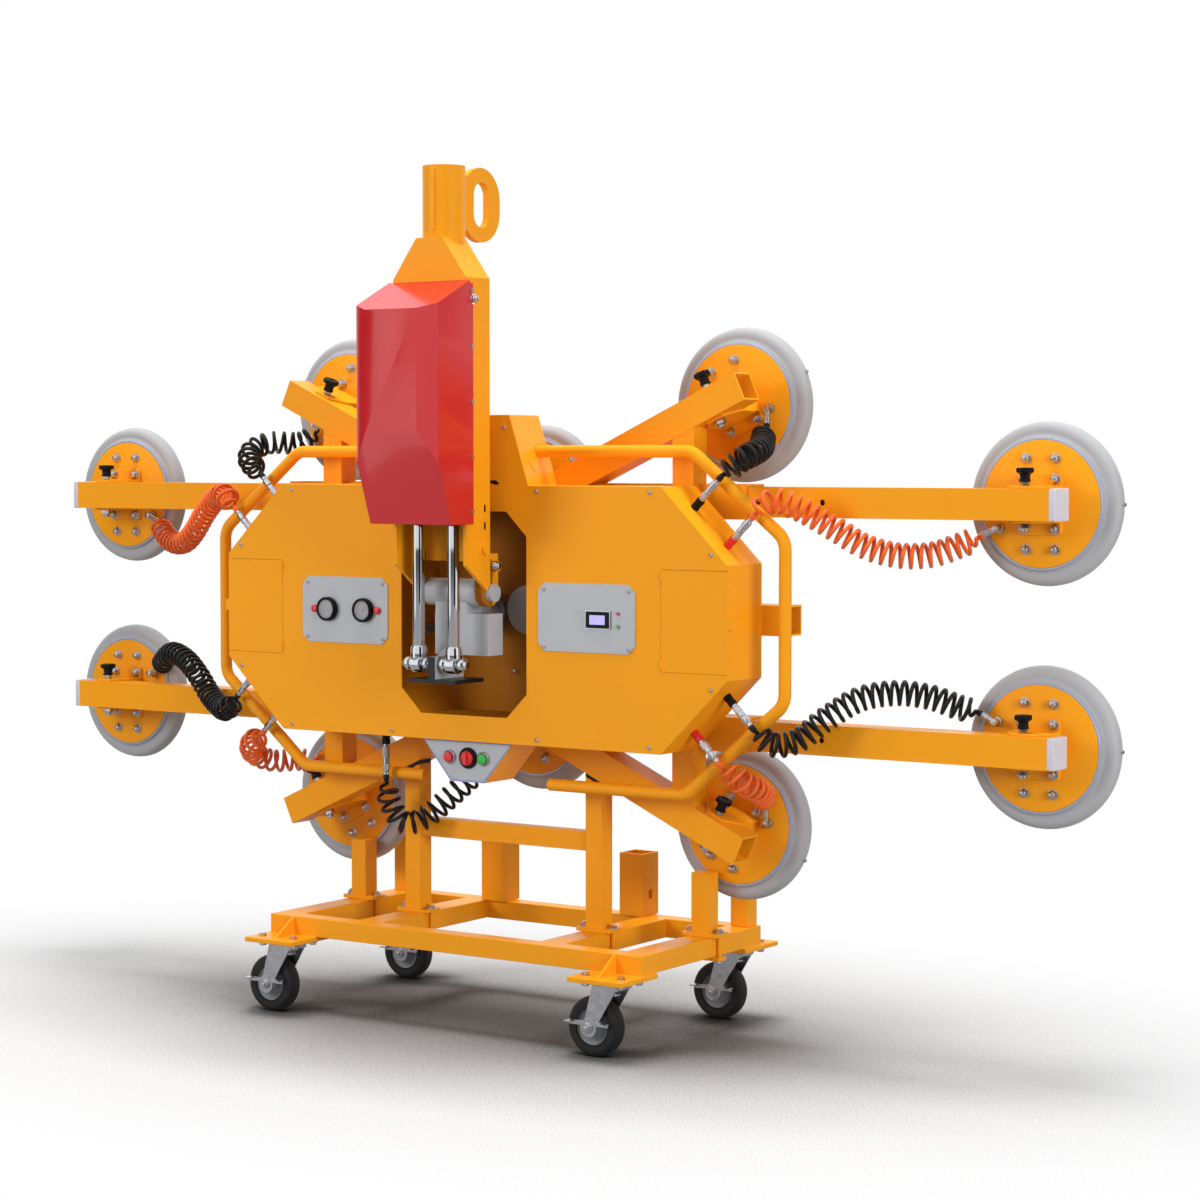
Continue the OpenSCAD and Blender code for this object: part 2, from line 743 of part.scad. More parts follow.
// Curly hoses: a helix wound round a smooth route, its curls growing in and out at the ends
function spline(p, i, t) = let (a = p[max(i - 1, 0)], b = p[i], c = p[i + 1], d = p[min(i + 2, len(p) - 1)])
    0.5 * (2 * b + (c - a) * t + (2 * a - 5 * b + 4 * c - d) * t * t + (3 * b - a - 3 * c + d) * t * t * t);
function route_pts(p, n) = [for (k = [0 : n]) let (s = k / n * (len(p) - 1), i = min(floor(s), len(p) - 2))
    spline(p, i, s - i)];
function swell(k, n) = pow(sin(90 * min(1, k / 8, (n - k) / 8)), 2);
function curl_pts(p, curls) = let (n = 8 * curls, c = route_pts(p, n), r = (curl_d - hose_d) / 2)
    [for (k = [0 : n]) let (t = unit(c[min(k + 1, n)] - c[max(k - 1, 0)]),
        b = unit(cross(t, [0, 1, 0])), m = cross(b, t))
        c[k] + r * swell(k, n) * (cos(45 * k) * b + sin(45 * k) * m)];
// Whole centre line: straight out of one fitting, round the route, straight into the other
function hose_line(a, u, b, v, mid, curls) = let (l = hose_d * 1.5)
    concat([a, a + hose_d * u], curl_pts(concat([a + l * u], mid, [b + l * v]), curls),
        [b + hose_d * v, b]);
function tangents(q) = [for (i = [0 : len(q) - 1])
    unit(i == 0 ? q[1] - q[0] : i == len(q) - 1 ? q[i] - q[i - 1] : unit(q[i + 1] - q[i]) + unit(q[i] - q[i - 1]))];
function carried(t) = [for (i = 0, u = unit(cross(t[0], [0.3, 1, 0.2])); i < len(t);
    u = i + 1 < len(t) ? unit(u - (u * t[i + 1]) * t[i + 1]) : u, i = i + 1) u];
function least_gap(q) = min([for (i = [0 : len(q) - 6]) for (j = [i + 5 : min(i + 22, len(q) - 1)])
    norm(q[i] - q[j])]) - hose_d;
module sweep(q, d, sides) {
    t = tangents(q);
    u = carried(t);
    n = len(q);
    pts = [for (i = [0 : n - 1]) for (j = [0 : sides - 1]) let (g = 360 * j / sides)
        q[i] + d / 2 * (cos(g) * u[i] + sin(g) * cross(t[i], u[i]))];
    side = [for (i = [0 : n - 2]) for (j = [0 : sides - 1])
        let (a = sides * i + j, b = sides * i + (j + 1) % sides)
            for (f = [[a, b + sides, b], [a, a + sides, b + sides]]) f];
    e = sides * (n - 1);
    ends = [for (j = [1 : sides - 2]) for (f = [[0, j, j + 1], [e, e + j + 1, e + j]]) f];
    polyhedron(points = pts, faces = concat(side, ends));
}
module hose(q) {
    sweep(q, hose_d, 6);
}
function out3(sx, sz) = [sx * corner_out[0], 0, sz * corner_out[1]];
function flip(p, sx, sz) = [sx * p[0], p[1], axis_z + sz * p[2]];
// The hoses start just clear of the couplers
hose_gap = 0.3;
function corner_start(i, sx, sz) = let (e = coupler_end(coupler_at[i]) + hose_gap * corner_out)
    flip([e[0], coupler_y, e[1]], sx, sz);
function arm_end(sx, sz) = flip([cup_x - elbow_x - barrel_l * arm_elbow_v[0], plate_y + elbow_y,
    arm_z - elbow_z - barrel_l * arm_elbow_v[1]], sx, sz);
function arm_end_v(sx, sz) = [-sx * arm_elbow_v[0], 0, -sz * arm_elbow_v[1]];
function diagonal_end(sx, sz) = flip([diagonal_cup_x + elbow_dx, plate_y + elbow_y,
    diagonal_cup_z - elbow_dz - barrel_l], sx, sz);
function middle_end(sz) = flip([-elbow_x, plate_y + elbow_y, arm_z + elbow_z + barrel_l], 1, sz);
// Routes, as heights above the turning axis
route_ur = [[700, 62, 236], [745, 92, 220], [800, 122, 185], [855, 146, 150], [915, 172, 132],
    [975, 196, 134], [1025, 216, 152]];
route_lr = [[700, 66, -236], [740, 94, -228], [790, 118, -185], [850, 142, -146], [915, 170, -133],
    [975, 196, -140], [1025, 216, -158]];
route_ul = [[-705, 62, 238], [-755, 90, 226], [-810, 116, 194], [-865, 142, 152], [-920, 168, 126],
    [-980, 194, 126], [-1030, 216, 150]];
route_ll = [[-705, 66, -238], [-755, 96, -232], [-805, 122, -212], [-855, 140, -172], [-915, 166, -142],
    [-980, 192, -130], [-1030, 216, -152]];
route_ur_short = [[622, 78, 316], [626, 122, 330], [610, 172, 340], [588, 214, 358]];
route_lr_short = [[622, 78, -316], [628, 122, -334], [612, 176, -352], [588, 216, -362]];
route_ul_short = [[-640, 74, 312], [-662, 112, 336], [-648, 156, 352], [-604, 204, 352]];
route_ll_short = [[-640, 74, -312], [-662, 112, -338], [-646, 158, -356], [-602, 208, -356]];
route_top = [[-240, 64, 405], [-205, 98, 430], [-186, 150, 420], [-150, 205, 392], [-100, 230, 362]];
route_low = [[-244, 66, -412], [-221, 80, -455], [-180, 100, -446], [-148, 138, -408], [-112, 200, -352]];
function lift(p) = [for (q = p) q + [0, 0, axis_z]];
function arm_line(i, sx, sz, r) = hose_line(corner_start(i, sx, sz), out3(sx, sz), arm_end(sx, sz),
    arm_end_v(sx, sz), lift(r), arm_curls);
function short_line(i, sx, sz, r) = hose_line(corner_start(i, sx, sz), out3(sx, sz), diagonal_end(sx, sz),
    [0, 0, -sz], lift(r), short_curls);
function middle_line(sz, r) = hose_line(
    flip([upright_coupler_x, coupler_y, box_h / 2 + coupler_long + hose_gap], 1, sz),
    [0, 0, sz], middle_end(sz), [0, 0, sz], lift(r), short_curls);
line_ur = arm_line(1, 1, 1, route_ur);
line_lr = arm_line(1, 1, -1, route_lr);
line_ul = arm_line(1, -1, 1, route_ul);
line_ll = arm_line(1, -1, -1, route_ll);
black_lines = [short_line(0, 1, 1, route_ur_short), short_line(0, -1, 1, route_ul_short),
    middle_line(-1, route_low)];
orange_lines = [short_line(0, 1, -1, route_lr_short), short_line(0, -1, -1, route_ll_short),
    middle_line(1, route_top)];
echo(arm_hose_gaps = [for (q = [line_ur, line_lr, line_ul, line_ll]) least_gap(q)]);
echo(short_hose_gaps = [for (q = concat(black_lines, orange_lines)) least_gap(q)]);
module arm_hose_ur() color("#FF7F32") place() hose(line_ur);
module arm_hose_ul() color("#FF7F32") place() hose(line_ul);
module arm_hose_lr() color(dark) place() hose(line_lr);
module arm_hose_ll() color(dark) place() hose(line_ll);
module hoses_black() color(dark) place() {
    for (q = black_lines)
        hose(q);
}
module hoses_orange() color("#FF7F32") place() {
    for (q = orange_lines)
        hose(q);
}

// Mast: open channel, shoulder, neck and lifting eye
mast_x = mast_w / 2;
mast_front = -110;
mast_back = -30;
pivot_y = -20;
pivot_z = axis_z + pivot_rise;
lug_t = 18;
lug_x = mast_x - mast_plate;
lug_r = 28;
shoulder_h = 82;
neck_y = -60;
eye_y = 56.5;
eye_r = 64;
eye_hole_w = 51;
eye_hole_h = 92;
eye_z = neck_top - 70;
module stadium(y, z, r, h) {
    for (k = [-1, 1])
        translate([y, z + k * (h / 2 - r)])
            circle(r);
    translate([y - r, z - h / 2 + r])
        square([2 * r, h - 2 * r]);
}
pivot_nut_d = 36;
module mast_column() color(yellow) place() {
    lug_in = lug_x - lug_t;
    difference() {
        union() {
            both_sides()
                yz(lug_x, mast_x)
                    polygon([[mast_front, pivot_z + 58], [mast_back, pivot_z - 2], [mast_back, mast_top],
                        [mast_front, mast_top]]);
            block(-mast_x, mast_x, mast_back - mast_plate, mast_back, pivot_z + 64, mast_top);
            block(-mast_x, mast_x, mast_front, mast_back, mast_top - mast_plate, mast_top);
            both_sides()
                yz(lug_in, lug_x) {
                    translate([pivot_y, pivot_z])
                        circle(lug_r);
                    translate([pivot_y - lug_r, pivot_z])
                        square([2 * lug_r, 80]);
                }
            xz(mast_front, mast_back)
                polygon([[-mast_x, mast_top], [mast_x, mast_top], [33, mast_top + shoulder_h],
                    [-33, mast_top + shoulder_h]]);
            bar_z(neck_d, mast_top, neck_top, 0, neck_y);
            block(-2, 9, neck_y - neck_d / 2 - 2, neck_y - 30, neck_top - 131, neck_top - 8);
            yz(-eye_t / 2, eye_t / 2) difference() {
                union() {
                    stadium(eye_y, eye_z, eye_r, 2 * eye_r + 24);
                    translate([neck_y, eye_z - 56])
                        square([eye_y - neck_y, 112]);
                }
                stadium(eye_y, eye_z, eye_hole_w / 2, eye_hole_h);
            }
            both_sides()
                block(mast_x, cover_w / 2 - 3, mast_front, mast_front + 12, pivot_z + 150, mast_top - 14);
            both_sides()
                bar_x(22, mast_x - 0.5, mast_x + 6, -50, pivot_z + 90);
        }
        bar_x(pivot_d + 2 * run_gap, -mast_x - 1, mast_x + 1, pivot_y, pivot_z);
        both_sides()
            bar_x(pivot_nut_d + 4, lug_x, mast_x + 1, pivot_y, pivot_z);
    }
    bar_x(cylinder_pin_d, -lug_x, lug_x, rod_y, upper_pin_z);
    both_sides()
        bar_x(20, lug_x, lug_x + 12, -8, pivot_z + 54);
}
rod_y = -90;

// Red cover over the tilt cylinders
cover_x = cover_w / 2;
cover_t = 3;
cover_back = mast_front + 10;
cover_foot_y = -172;
cover_foot_z = 1045;
cover_peak_z = [1230, 1472];
function cover_side(t) = let (e = t > 0 ? 1 : 0, top = mast_top - 6 - t)
    [[cover_back + e, cover_foot_z - e], [cover_foot_y + t, cover_foot_z - e],
        [cover_front + t, cover_peak_z[0] + t / 3], [cover_front + t, cover_peak_z[1] - t * 0.6],
        [mast_front, top], [mast_front + (t > 0 ? 0.01 : 0), top - (t > 0 ? 0 : 6)],
        [cover_back + e, top - (t > 0 ? 0 : 6)]];
module cover_form(t) {
    intersection() {
        yz(-cover_x + t, cover_x - t)
            polygon(cover_side(t));
        translate([0, 0, cover_foot_z - 45])
            linear_extrude(600)
                polygon([[-cover_x + t, cover_back + 2], [-cover_x + t, cover_front + 21 + t / 2],
                    [-64 + t / 3, cover_front + t], [64 - t / 3, cover_front + t],
                    [cover_x - t, cover_front + 21 + t / 2], [cover_x - t, cover_back + 2]]);
    }
}
module cylinder_cover() color("#C8312F") place() {
    difference() {
        cover_form(0);
        cover_form(cover_t);
    }
    both_sides()
        for (z = [cover_foot_z + 25 : 110 : mast_top - 20])
            bar_x(9, cover_x, cover_x + 3, mast_front + 5, z);
}

// Tilt cylinders between mast and head
barrel_top = upper_pin_z - 20;
barrel_foot = upper_pin_z - 405;
rod_top = upper_pin_z - 270;
module tilt_cylinders() color("#8B8F96") place() both_sides() difference() {
    union() {
        bar_z(barrel_d, barrel_foot, barrel_top, rod_x, rod_y);
        bar_x(34, rod_x - 12, rod_x + 12, rod_y, upper_pin_z);
        bar_z(24, barrel_top - 1, upper_pin_z, rod_x, rod_y);
    }
    bar_z(rod_d + 2 * run_gap, barrel_foot - 1, upper_pin_z - 45, rod_x, rod_y);
    bar_x(cylinder_pin_d + 2 * run_gap, rod_x - 20, rod_x + 20, rod_y, upper_pin_z);
}
tongue_t = 18;
module cylinder_rods() color("#D5D8DC") place() both_sides() {
    bar_z(rod_d, lower_pin_z, rod_top, rod_x, rod_y);
    bar_x(36, rod_x - 12, rod_x + 12, rod_y, lower_pin_z);
    bar_x(cylinder_pin_d, tongue_t / 2 + 0.9, 80, rod_y, lower_pin_z);
    bar_x(28, 17, 27, rod_y, lower_pin_z);
    bar_x(28, 63, 74, rod_y, lower_pin_z);
}

// Head: shaft in the bearing, casting, tilt barrel with its pin, tongue for the rods
module tilt_head() color("#9A9EA4") place() {
    lug_in = lug_x - lug_t;
    bar_y(shaft_d, -10, well_back - 6, 0, axis_z);
    block(-41, 94, -40, 10, axis_z - 82, axis_z + 3);
    block(-40, 40, -40, 8, axis_z, pivot_z);
    bar_x(56, -lug_in + 0.4, lug_in - 0.4, pivot_y, pivot_z);
    bar_x(pivot_d, -lug_x - 14, lug_x + 14, pivot_y, pivot_z);
    both_sides()
        bar_x(pivot_nut_d, lug_x + 0.4, lug_x + 14, pivot_y, pivot_z);
    yz(-tongue_t / 2, tongue_t / 2)
        polygon([[-39, axis_z - 60], [-39, axis_z - 81], [-10, axis_z - 81], [-10, axis_z - 129],
            [rod_y - 16, axis_z - 129], [rod_y - 16, lower_pin_z + 16], [rod_y + 14, lower_pin_z + 16]]);
    block(-60, 60, rod_y - 16, -10, axis_z - 137, axis_z - 129);
    bar_x(16, -72, -40, pivot_y, axis_z - 29);
}

// Cart: rails, caster plates and gussets
rail_z = caster_h + pad_plate;
rail_top = rail_z + rail_h;
cart_x = cart_w / 2;
module gusset(y, s) {
    both_sides()
        yz(cart_x - rail_w - 6, cart_x - rail_w)
            polygon([[y, rail_z], [y + s * 60, rail_z], [y, rail_top]]);
}
module cart_chassis() color(yellow) place() {
    both_sides() {
        block(cart_x - rail_w, cart_x, cart_front + end_rail, cart_back - end_rail, rail_z, rail_top);
        block(cross_x - rail_w / 2, cross_x + rail_w / 2, cart_front + end_rail, cart_back - end_rail,
            rail_z, rail_top);
        for (y = [caster_front_y, caster_rear_y])
            block(caster_x - pad_d / 2, caster_x + pad_d / 2, y - pad_d / 2, y + pad_d / 2, caster_h, rail_z);
    }
    block(-cart_x, cart_x, cart_front, cart_front + end_rail, rail_z, rail_top);
    block(-cart_x, cart_x, cart_back - end_rail, cart_back, rail_z, rail_top);
    gusset(cart_front, -1);
    gusset(cart_back, 1);
}
tall_y = 151;
outer_x = 445;
outer_y = 226;
rear_y = cart_back - end_rail / 2;
flange = 84;
flange_d = 44;
flange_t = 8;
socket_x = 183;
socket_wall = 4;
function rest_top(x) = axis_z - diagonal_at(x) - half_v - 0.3;
module foot_flange(x, y) {
    block(x - flange / 2, x + flange / 2, y - flange_d / 2, y + flange_d / 2, rail_top, rail_top + flange_t);
}
module cart_posts() color(yellow) place() {
    both_sides() {
        xz(tall_y - post / 2, tall_y + post / 2)
            polygon([[cross_x - post / 2, rail_top], [cross_x + post / 2, rail_top],
                [cross_x + post / 2, rest_top(cross_x + post / 2) - rest_t],
                [cross_x - post / 2, rest_top(cross_x - post / 2) - rest_t]]);
        foot_flange(cross_x, tall_y);
        block(outer_x - post / 2, outer_x + post / 2, outer_y - post / 2, outer_y + post / 2,
            rail_top, outer_post_top);
        foot_flange(outer_x, outer_y);
        block(outer_x - post / 2, outer_x + post / 2, rear_y - post / 2, rear_y + post / 2,
            rail_top, outer_post_top);
        difference() {
            block(socket_x - socket / 2, socket_x + socket / 2, rear_y - socket / 2, rear_y + socket / 2,
                rail_top, socket_top);
            block(socket_x - socket / 2 + socket_wall, socket_x + socket / 2 - socket_wall,
                rear_y - socket / 2 + socket_wall, rear_y + socket / 2 - socket_wall,
                rail_top + 8, socket_top + 1);
            block(socket_x + socket / 2 - socket_wall - 1, socket_x + socket / 2 + 1,
                rear_y - 7, rear_y + 7, rail_top + 35, rail_top + 55);
        }
    }
    block(-cross_x, cross_x, tall_y - 15, tall_y + 15, bar_z, bar_z + 40);
}
module rest_pads() color(dark) place() both_sides()
    xz(tall_y - post / 2, tall_y + post / 2)
        polygon([[cross_x - post / 2, rest_top(cross_x - post / 2) - rest_t],
            [cross_x + post / 2, rest_top(cross_x + post / 2) - rest_t],
            [cross_x + post / 2, rest_top(cross_x + post / 2)],
            [cross_x - post / 2, rest_top(cross_x - post / 2)]]);
bolt_d = 10;
module clamp(x, y) {
    for (s = [-1, 1]) {
        bx = x + s * (rail_w / 2 + bolt_d / 2 + 0.5);
        bar_z(bolt_d, rail_z - 8, rail_top, bx, y);
        bar_z(bolt_d + 6, rail_top + flange_t, rail_top + flange_t + 7, bx, y);
        bar_z(bolt_d + 6, rail_z - 16, rail_z - 8, bx, y);
    }
    block(x - flange / 2, x + flange / 2, y - 15, y + 15, rail_z - 8, rail_z);
}
module caster_top(y, s) {
    bar_z(kingpin_d, caster_h - 26, caster_h - 3, caster_x, y);
    bar_z(kingpin_d + 12, caster_h - 30, caster_h - 26, caster_x, y);
    block(caster_x - 52, caster_x + 52, y - 42, y + 42, caster_h - 4, caster_h);
    for (dx = [-42, 42])
        for (dy = [-32, 32]) {
            bar_z(14, caster_h - 11, caster_h - 4, caster_x + dx, y + dy);
            if (dy * s > 0)
                bar_z(14, rail_z, rail_z + 6, caster_x + dx, y + dy);
        }
}
module cart_fittings() color(metal) place() both_sides() {
    clamp(cross_x, tall_y);
    clamp(outer_x, outer_y);
    caster_top(caster_front_y, -1);
    caster_top(caster_rear_y, 1);
}

// Casters: fork with axle, wheel and brake pedal, drawn round the kingpin with the floor at 0
axle_z = wheel_d / 2;
leg_in = wheel_w / 2 + 5;
leg_t = 4;
crown_z = caster_h - 4.3;
module at_caster(sx, y) {
    translate([sx * caster_x, y, 0])
        children();
}
module fork() difference() {
    union() {
        bar_z(64, crown_z - 5, crown_z, 0, 0);
        block(-30, 28, -leg_in - leg_t, leg_in + leg_t, crown_z - 12, crown_z - 4);
        for (s = [-1, 1])
            translate([0, s * (leg_in + leg_t / 2), 0])
                xz(-leg_t / 2, leg_t / 2) {
                    polygon([[-30, crown_z - 6], [28, crown_z - 6], [-trail + 15, axle_z], [-trail - 15, axle_z]]);
                    translate([-trail, axle_z])
                        circle(15);
                }
        bar_y(axle_d, -leg_in - leg_t - 10, leg_in + leg_t + 6, -trail, axle_z);
        bar_y(20, leg_in + leg_t, leg_in + leg_t + 6, -trail, axle_z);
        bar_y(18, -leg_in - leg_t - 9, -leg_in - leg_t - 3.8, -trail, axle_z);
    }
    bar_z(kingpin_d + 2 * run_gap, crown_z - 30, crown_z + 1, 0, 0);
    bar_z(kingpin_d + 14, crown_z - 60, caster_h - 25.6, 0, 0);
}
module wheel() translate([-trail, 0, axle_z]) rotate([90, 0, 0]) rotate_extrude() {
    h = wheel_w / 2;
    r = wheel_d / 2;
    polygon([[axle_d / 2 + run_gap, -leg_in + 0.5], [14, -leg_in + 0.5], [14, 4 - h], [r * 0.62, 4 - h],
        [r * 0.7, -h], [r - 8, -h], [r - 2, -h + 5], [r, -h + 11], [r, h - 11], [r - 2, h - 5], [r - 8, h],
        [r * 0.7, h], [r * 0.62, h - 4], [14, h - 4], [14, leg_in - 0.5], [axle_d / 2 + run_gap, leg_in - 0.5]]);
}
module pedal() {
    y1 = -leg_in - leg_t - 0.4;
    difference() {
        union() {
            xz(y1 - 3, y1)
                translate([-trail, axle_z]) {
                    circle(19);
                    translate([-46, 4])
                        square([92, 9]);
                }
            for (s = [-1, 1])
                block(-trail + s * 40 - 8, -trail + s * 40 + 8, y1 - 18, y1, axle_z + 10, axle_z + 13);
        }
        bar_y(axle_d + 2 * run_gap, y1 - 4, y1 + 1, -trail, axle_z);
    }
}
module caster_fork_fl() color(metal) place() at_caster(-1, caster_front_y) fork();
module caster_fork_fr() color(metal) place() at_caster(1, caster_front_y) fork();
module caster_fork_rl() color(metal) place() at_caster(-1, caster_rear_y) fork();
module caster_fork_rr() color(metal) place() at_caster(1, caster_rear_y) fork();
module caster_wheel_fl() color(dark) place() at_caster(-1, caster_front_y) wheel();
module caster_wheel_fr() color(dark) place() at_caster(1, caster_front_y) wheel();
module caster_wheel_rl() color(dark) place() at_caster(-1, caster_rear_y) wheel();
module caster_wheel_rr() color(dark) place() at_caster(1, caster_rear_y) wheel();
module brake_pedal_fl() color(metal) place() at_caster(-1, caster_front_y) pedal();
module brake_pedal_fr() color(metal) place() at_caster(1, caster_front_y) pedal();
module brake_pedal_rl() color(metal) place() at_caster(-1, caster_rear_y) pedal();
module brake_pedal_rr() color(metal) place() at_caster(1, caster_rear_y) pedal();

cart_chassis();
cart_posts();
cart_fittings();
rest_pads();
caster_fork_fl();
caster_fork_fr();
caster_fork_rl();
caster_fork_rr();
caster_wheel_fl();
caster_wheel_fr();
caster_wheel_rl();
caster_wheel_rr();
brake_pedal_fl();
brake_pedal_fr();
brake_pedal_rl();
brake_pedal_rr();
lifting_frame();
bumper_tubes();
enclosure_body();
front_panel();
enclosure_screws();
instrument_plates();
vacuum_gauges();
display_unit();
control_housing();
control_panel();
red_button();
green_button();
rotary_switch();
hose_couplers();
rotary_bearing();
vacuum_unit();
door_left();
door_right();
fixed_cup_plates();
fixed_cup_skirts();
fixed_cup_brackets();
hoses_black();
hoses_orange();
arm_ul();
arm_ur();
arm_ll();
arm_lr();
arm_cup_ul();
arm_cup_ur();
arm_cup_ll();
arm_cup_lr();
arm_skirt_ul();
arm_skirt_ur();
arm_skirt_ll();
arm_skirt_lr();
arm_hose_ul();
arm_hose_ur();
arm_hose_ll();
arm_hose_lr();
mast_column();
cylinder_cover();
tilt_cylinders();
cylinder_rods();
tilt_head();
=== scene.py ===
"""Glass panel lifter: the looks of the vacuum lifter and its transport cart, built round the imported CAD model."""

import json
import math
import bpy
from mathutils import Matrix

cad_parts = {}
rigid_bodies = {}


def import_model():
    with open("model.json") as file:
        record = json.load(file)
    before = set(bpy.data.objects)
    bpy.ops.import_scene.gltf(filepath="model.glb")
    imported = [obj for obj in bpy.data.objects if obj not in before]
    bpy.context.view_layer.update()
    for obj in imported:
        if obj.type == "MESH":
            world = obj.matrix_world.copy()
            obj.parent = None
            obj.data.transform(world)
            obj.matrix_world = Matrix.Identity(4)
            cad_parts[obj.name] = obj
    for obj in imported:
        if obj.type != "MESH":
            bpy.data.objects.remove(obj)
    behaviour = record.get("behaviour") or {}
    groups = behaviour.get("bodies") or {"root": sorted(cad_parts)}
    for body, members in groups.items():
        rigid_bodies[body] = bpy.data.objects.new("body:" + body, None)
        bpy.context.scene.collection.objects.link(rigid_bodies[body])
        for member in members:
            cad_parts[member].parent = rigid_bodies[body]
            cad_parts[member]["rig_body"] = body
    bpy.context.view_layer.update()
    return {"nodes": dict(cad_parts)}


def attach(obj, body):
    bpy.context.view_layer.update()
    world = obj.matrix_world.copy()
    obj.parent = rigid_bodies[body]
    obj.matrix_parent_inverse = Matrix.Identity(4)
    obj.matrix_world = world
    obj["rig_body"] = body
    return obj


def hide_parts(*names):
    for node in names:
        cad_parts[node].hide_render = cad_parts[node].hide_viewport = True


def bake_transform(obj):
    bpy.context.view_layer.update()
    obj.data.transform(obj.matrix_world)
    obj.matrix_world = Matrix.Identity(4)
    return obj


bl_info = {
    "name": "Glass Panel Lifter",
    "version": (1, 0, 0),
    "blender": (4, 5, 0),
    "location": "View3D > Sidebar > Lifter",
    "description": "Builds a vacuum glass lifter on its transport cart",
    "category": "Add Mesh",
}

import bmesh
import bpy
import numpy as np
from bpy.props import FloatProperty, FloatVectorProperty, IntProperty, PointerProperty

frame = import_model()

# The drawing measures in millimetres from the front of the control box, the frame in metres from its own middle
BOX_FRONT = -111.5
MM = 0.001

# Heights of the box's middle and of the arms over it, and the cup plates' depth and radius
AXIS_Z, ARM_Z = 859.0, 232.0
PLATE_Y, PLATE_R = 252.0, 121.5

# Where the cups stand: on the arms, and on a diagonal that rises at this angle to its end, as (x, z)
ARM_CUP_X = 1176.5
DIAGONAL_ANGLE = 24.5
DIAGONAL_END, DIAGONAL_X = (582.5, 461.0), 505.0
DIAGONAL_CUP = (DIAGONAL_X, DIAGONAL_END[1] - (DIAGONAL_END[0] - DIAGONAL_X) * math.tan(math.radians(DIAGONAL_ANGLE)))

# The box's half width and half height, its cut corners, and the directions square to a cut and along it
BOX_X, BOX_Z = 637.0, 263.0
CUT_X, CUT_Z = 153.0, 151.0
CORNER_OUT = np.array([CUT_Z, CUT_X]) / math.hypot(CUT_Z, CUT_X)
CORNER_ALONG = np.array([CUT_X, -CUT_Z]) / math.hypot(CUT_Z, CUT_X)

# The side and level of each arm; how far the casters stand from the middle plane, and the side and depth of each
ARMS = {"ul": (-1, 1), "ur": (1, 1), "ll": (-1, -1), "lr": (1, -1)}
CASTER_X, CASTER_FRONT, CASTER_REAR = 416.0, -68.0, 394.0
CASTERS = {"fl": (-1, CASTER_FRONT), "fr": (1, CASTER_FRONT), "rl": (-1, CASTER_REAR), "rr": (1, CASTER_REAR)}


def linear(hex_colour):
    """The linear colour of an sRGB hex value, with an alpha of 1."""
    srgb = [int(hex_colour[i : i + 2], 16) / 255 for i in (1, 3, 5)]
    return (*[c / 12.92 if c <= 0.04045 else ((c + 0.055) / 1.055) ** 2.4 for c in srgb], 1.0)


# Materials


def add_node(tree, kind, inputs=None, **settings):
    """Adds a node with its settings; an input is a value or another node's output to link from."""
    made = tree.nodes.new(kind)
    for name, value in settings.items():
        setattr(made, name, value)
    for socket, value in (inputs or {}).items():
        if isinstance(value, bpy.types.NodeSocket):
            tree.links.new(value, made.inputs[socket])
        else:
            made.inputs[socket].default_value = value
    return made


def blank(name):
    """A new material with an empty node tree."""
    material = bpy.data.materials.new(name)
    material.use_nodes = True
    material.node_tree.nodes.clear()
    return material


def finish(name, colour, roughness, metallic=0.0, mottle=0.03, patch_mm=140.0, grain_mm=2.0, relief_mm=0.012,
           stretch=(1.0, 1.0, 1.0), uneven=0.06, **sockets):
    """A finish on Object coordinates: a broad mottle in colour and gloss, and a fine grain that lifts the surface."""
    material = blank(name)
    tree = material.node_tree
    place = add_node(tree, "ShaderNodeTexCoord").outputs["Object"]
    lay = add_node(tree, "ShaderNodeMapping", {"Vector": place, "Scale": stretch}).outputs["Vector"]
    broad = add_node(tree, "ShaderNodeTexNoise", {"Vector": place, "Scale": 1000 / patch_mm, "Detail": 3.0})
    fine = add_node(tree, "ShaderNodeTexNoise", {"Vector": lay, "Scale": 1000 / grain_mm, "Detail": 2.0})
    rgb = np.array(colour[:3])
    tones = add_node(tree, "ShaderNodeMix", {
        "Factor": broad.outputs["Fac"], "A": (*(rgb * (1 - mottle)), 1.0),
        "B": (*np.clip(rgb * (1 + mottle), 0, 1), 1.0)}, data_type="RGBA")
    gloss = add_node(tree, "ShaderNodeMapRange", {
        "Value": broad.outputs["Fac"], "From Min": 0.3, "From Max": 0.7,
        "To Min": max(roughness - uneven, 0.02), "To Max": roughness + uneven})
    lift = add_node(tree, "ShaderNodeBump", {
        "Height": fine.outputs["Fac"], "Distance": relief_mm * MM, "Strength": 1.0})
    shader = add_node(tree, "ShaderNodeBsdfPrincipled", {
        "Base Color": tones.outputs["Result"], "Roughness": gloss.outputs["Result"],
        "Normal": lift.outputs["Normal"], "Metallic": metallic, **sockets})
    add_node(tree, "ShaderNodeOutputMaterial", {"Surface": shader.outputs["BSDF"]})
    material.diffuse_color = colour
    return material


# Settings that the smooth glossy surfaces at the end of the table share
POLISHED = {"patch_mm": 12, "grain_mm": 1.5, "relief_mm": 0.003, "Coat Weight": 0.3, "Coat Roughness": 0.08}

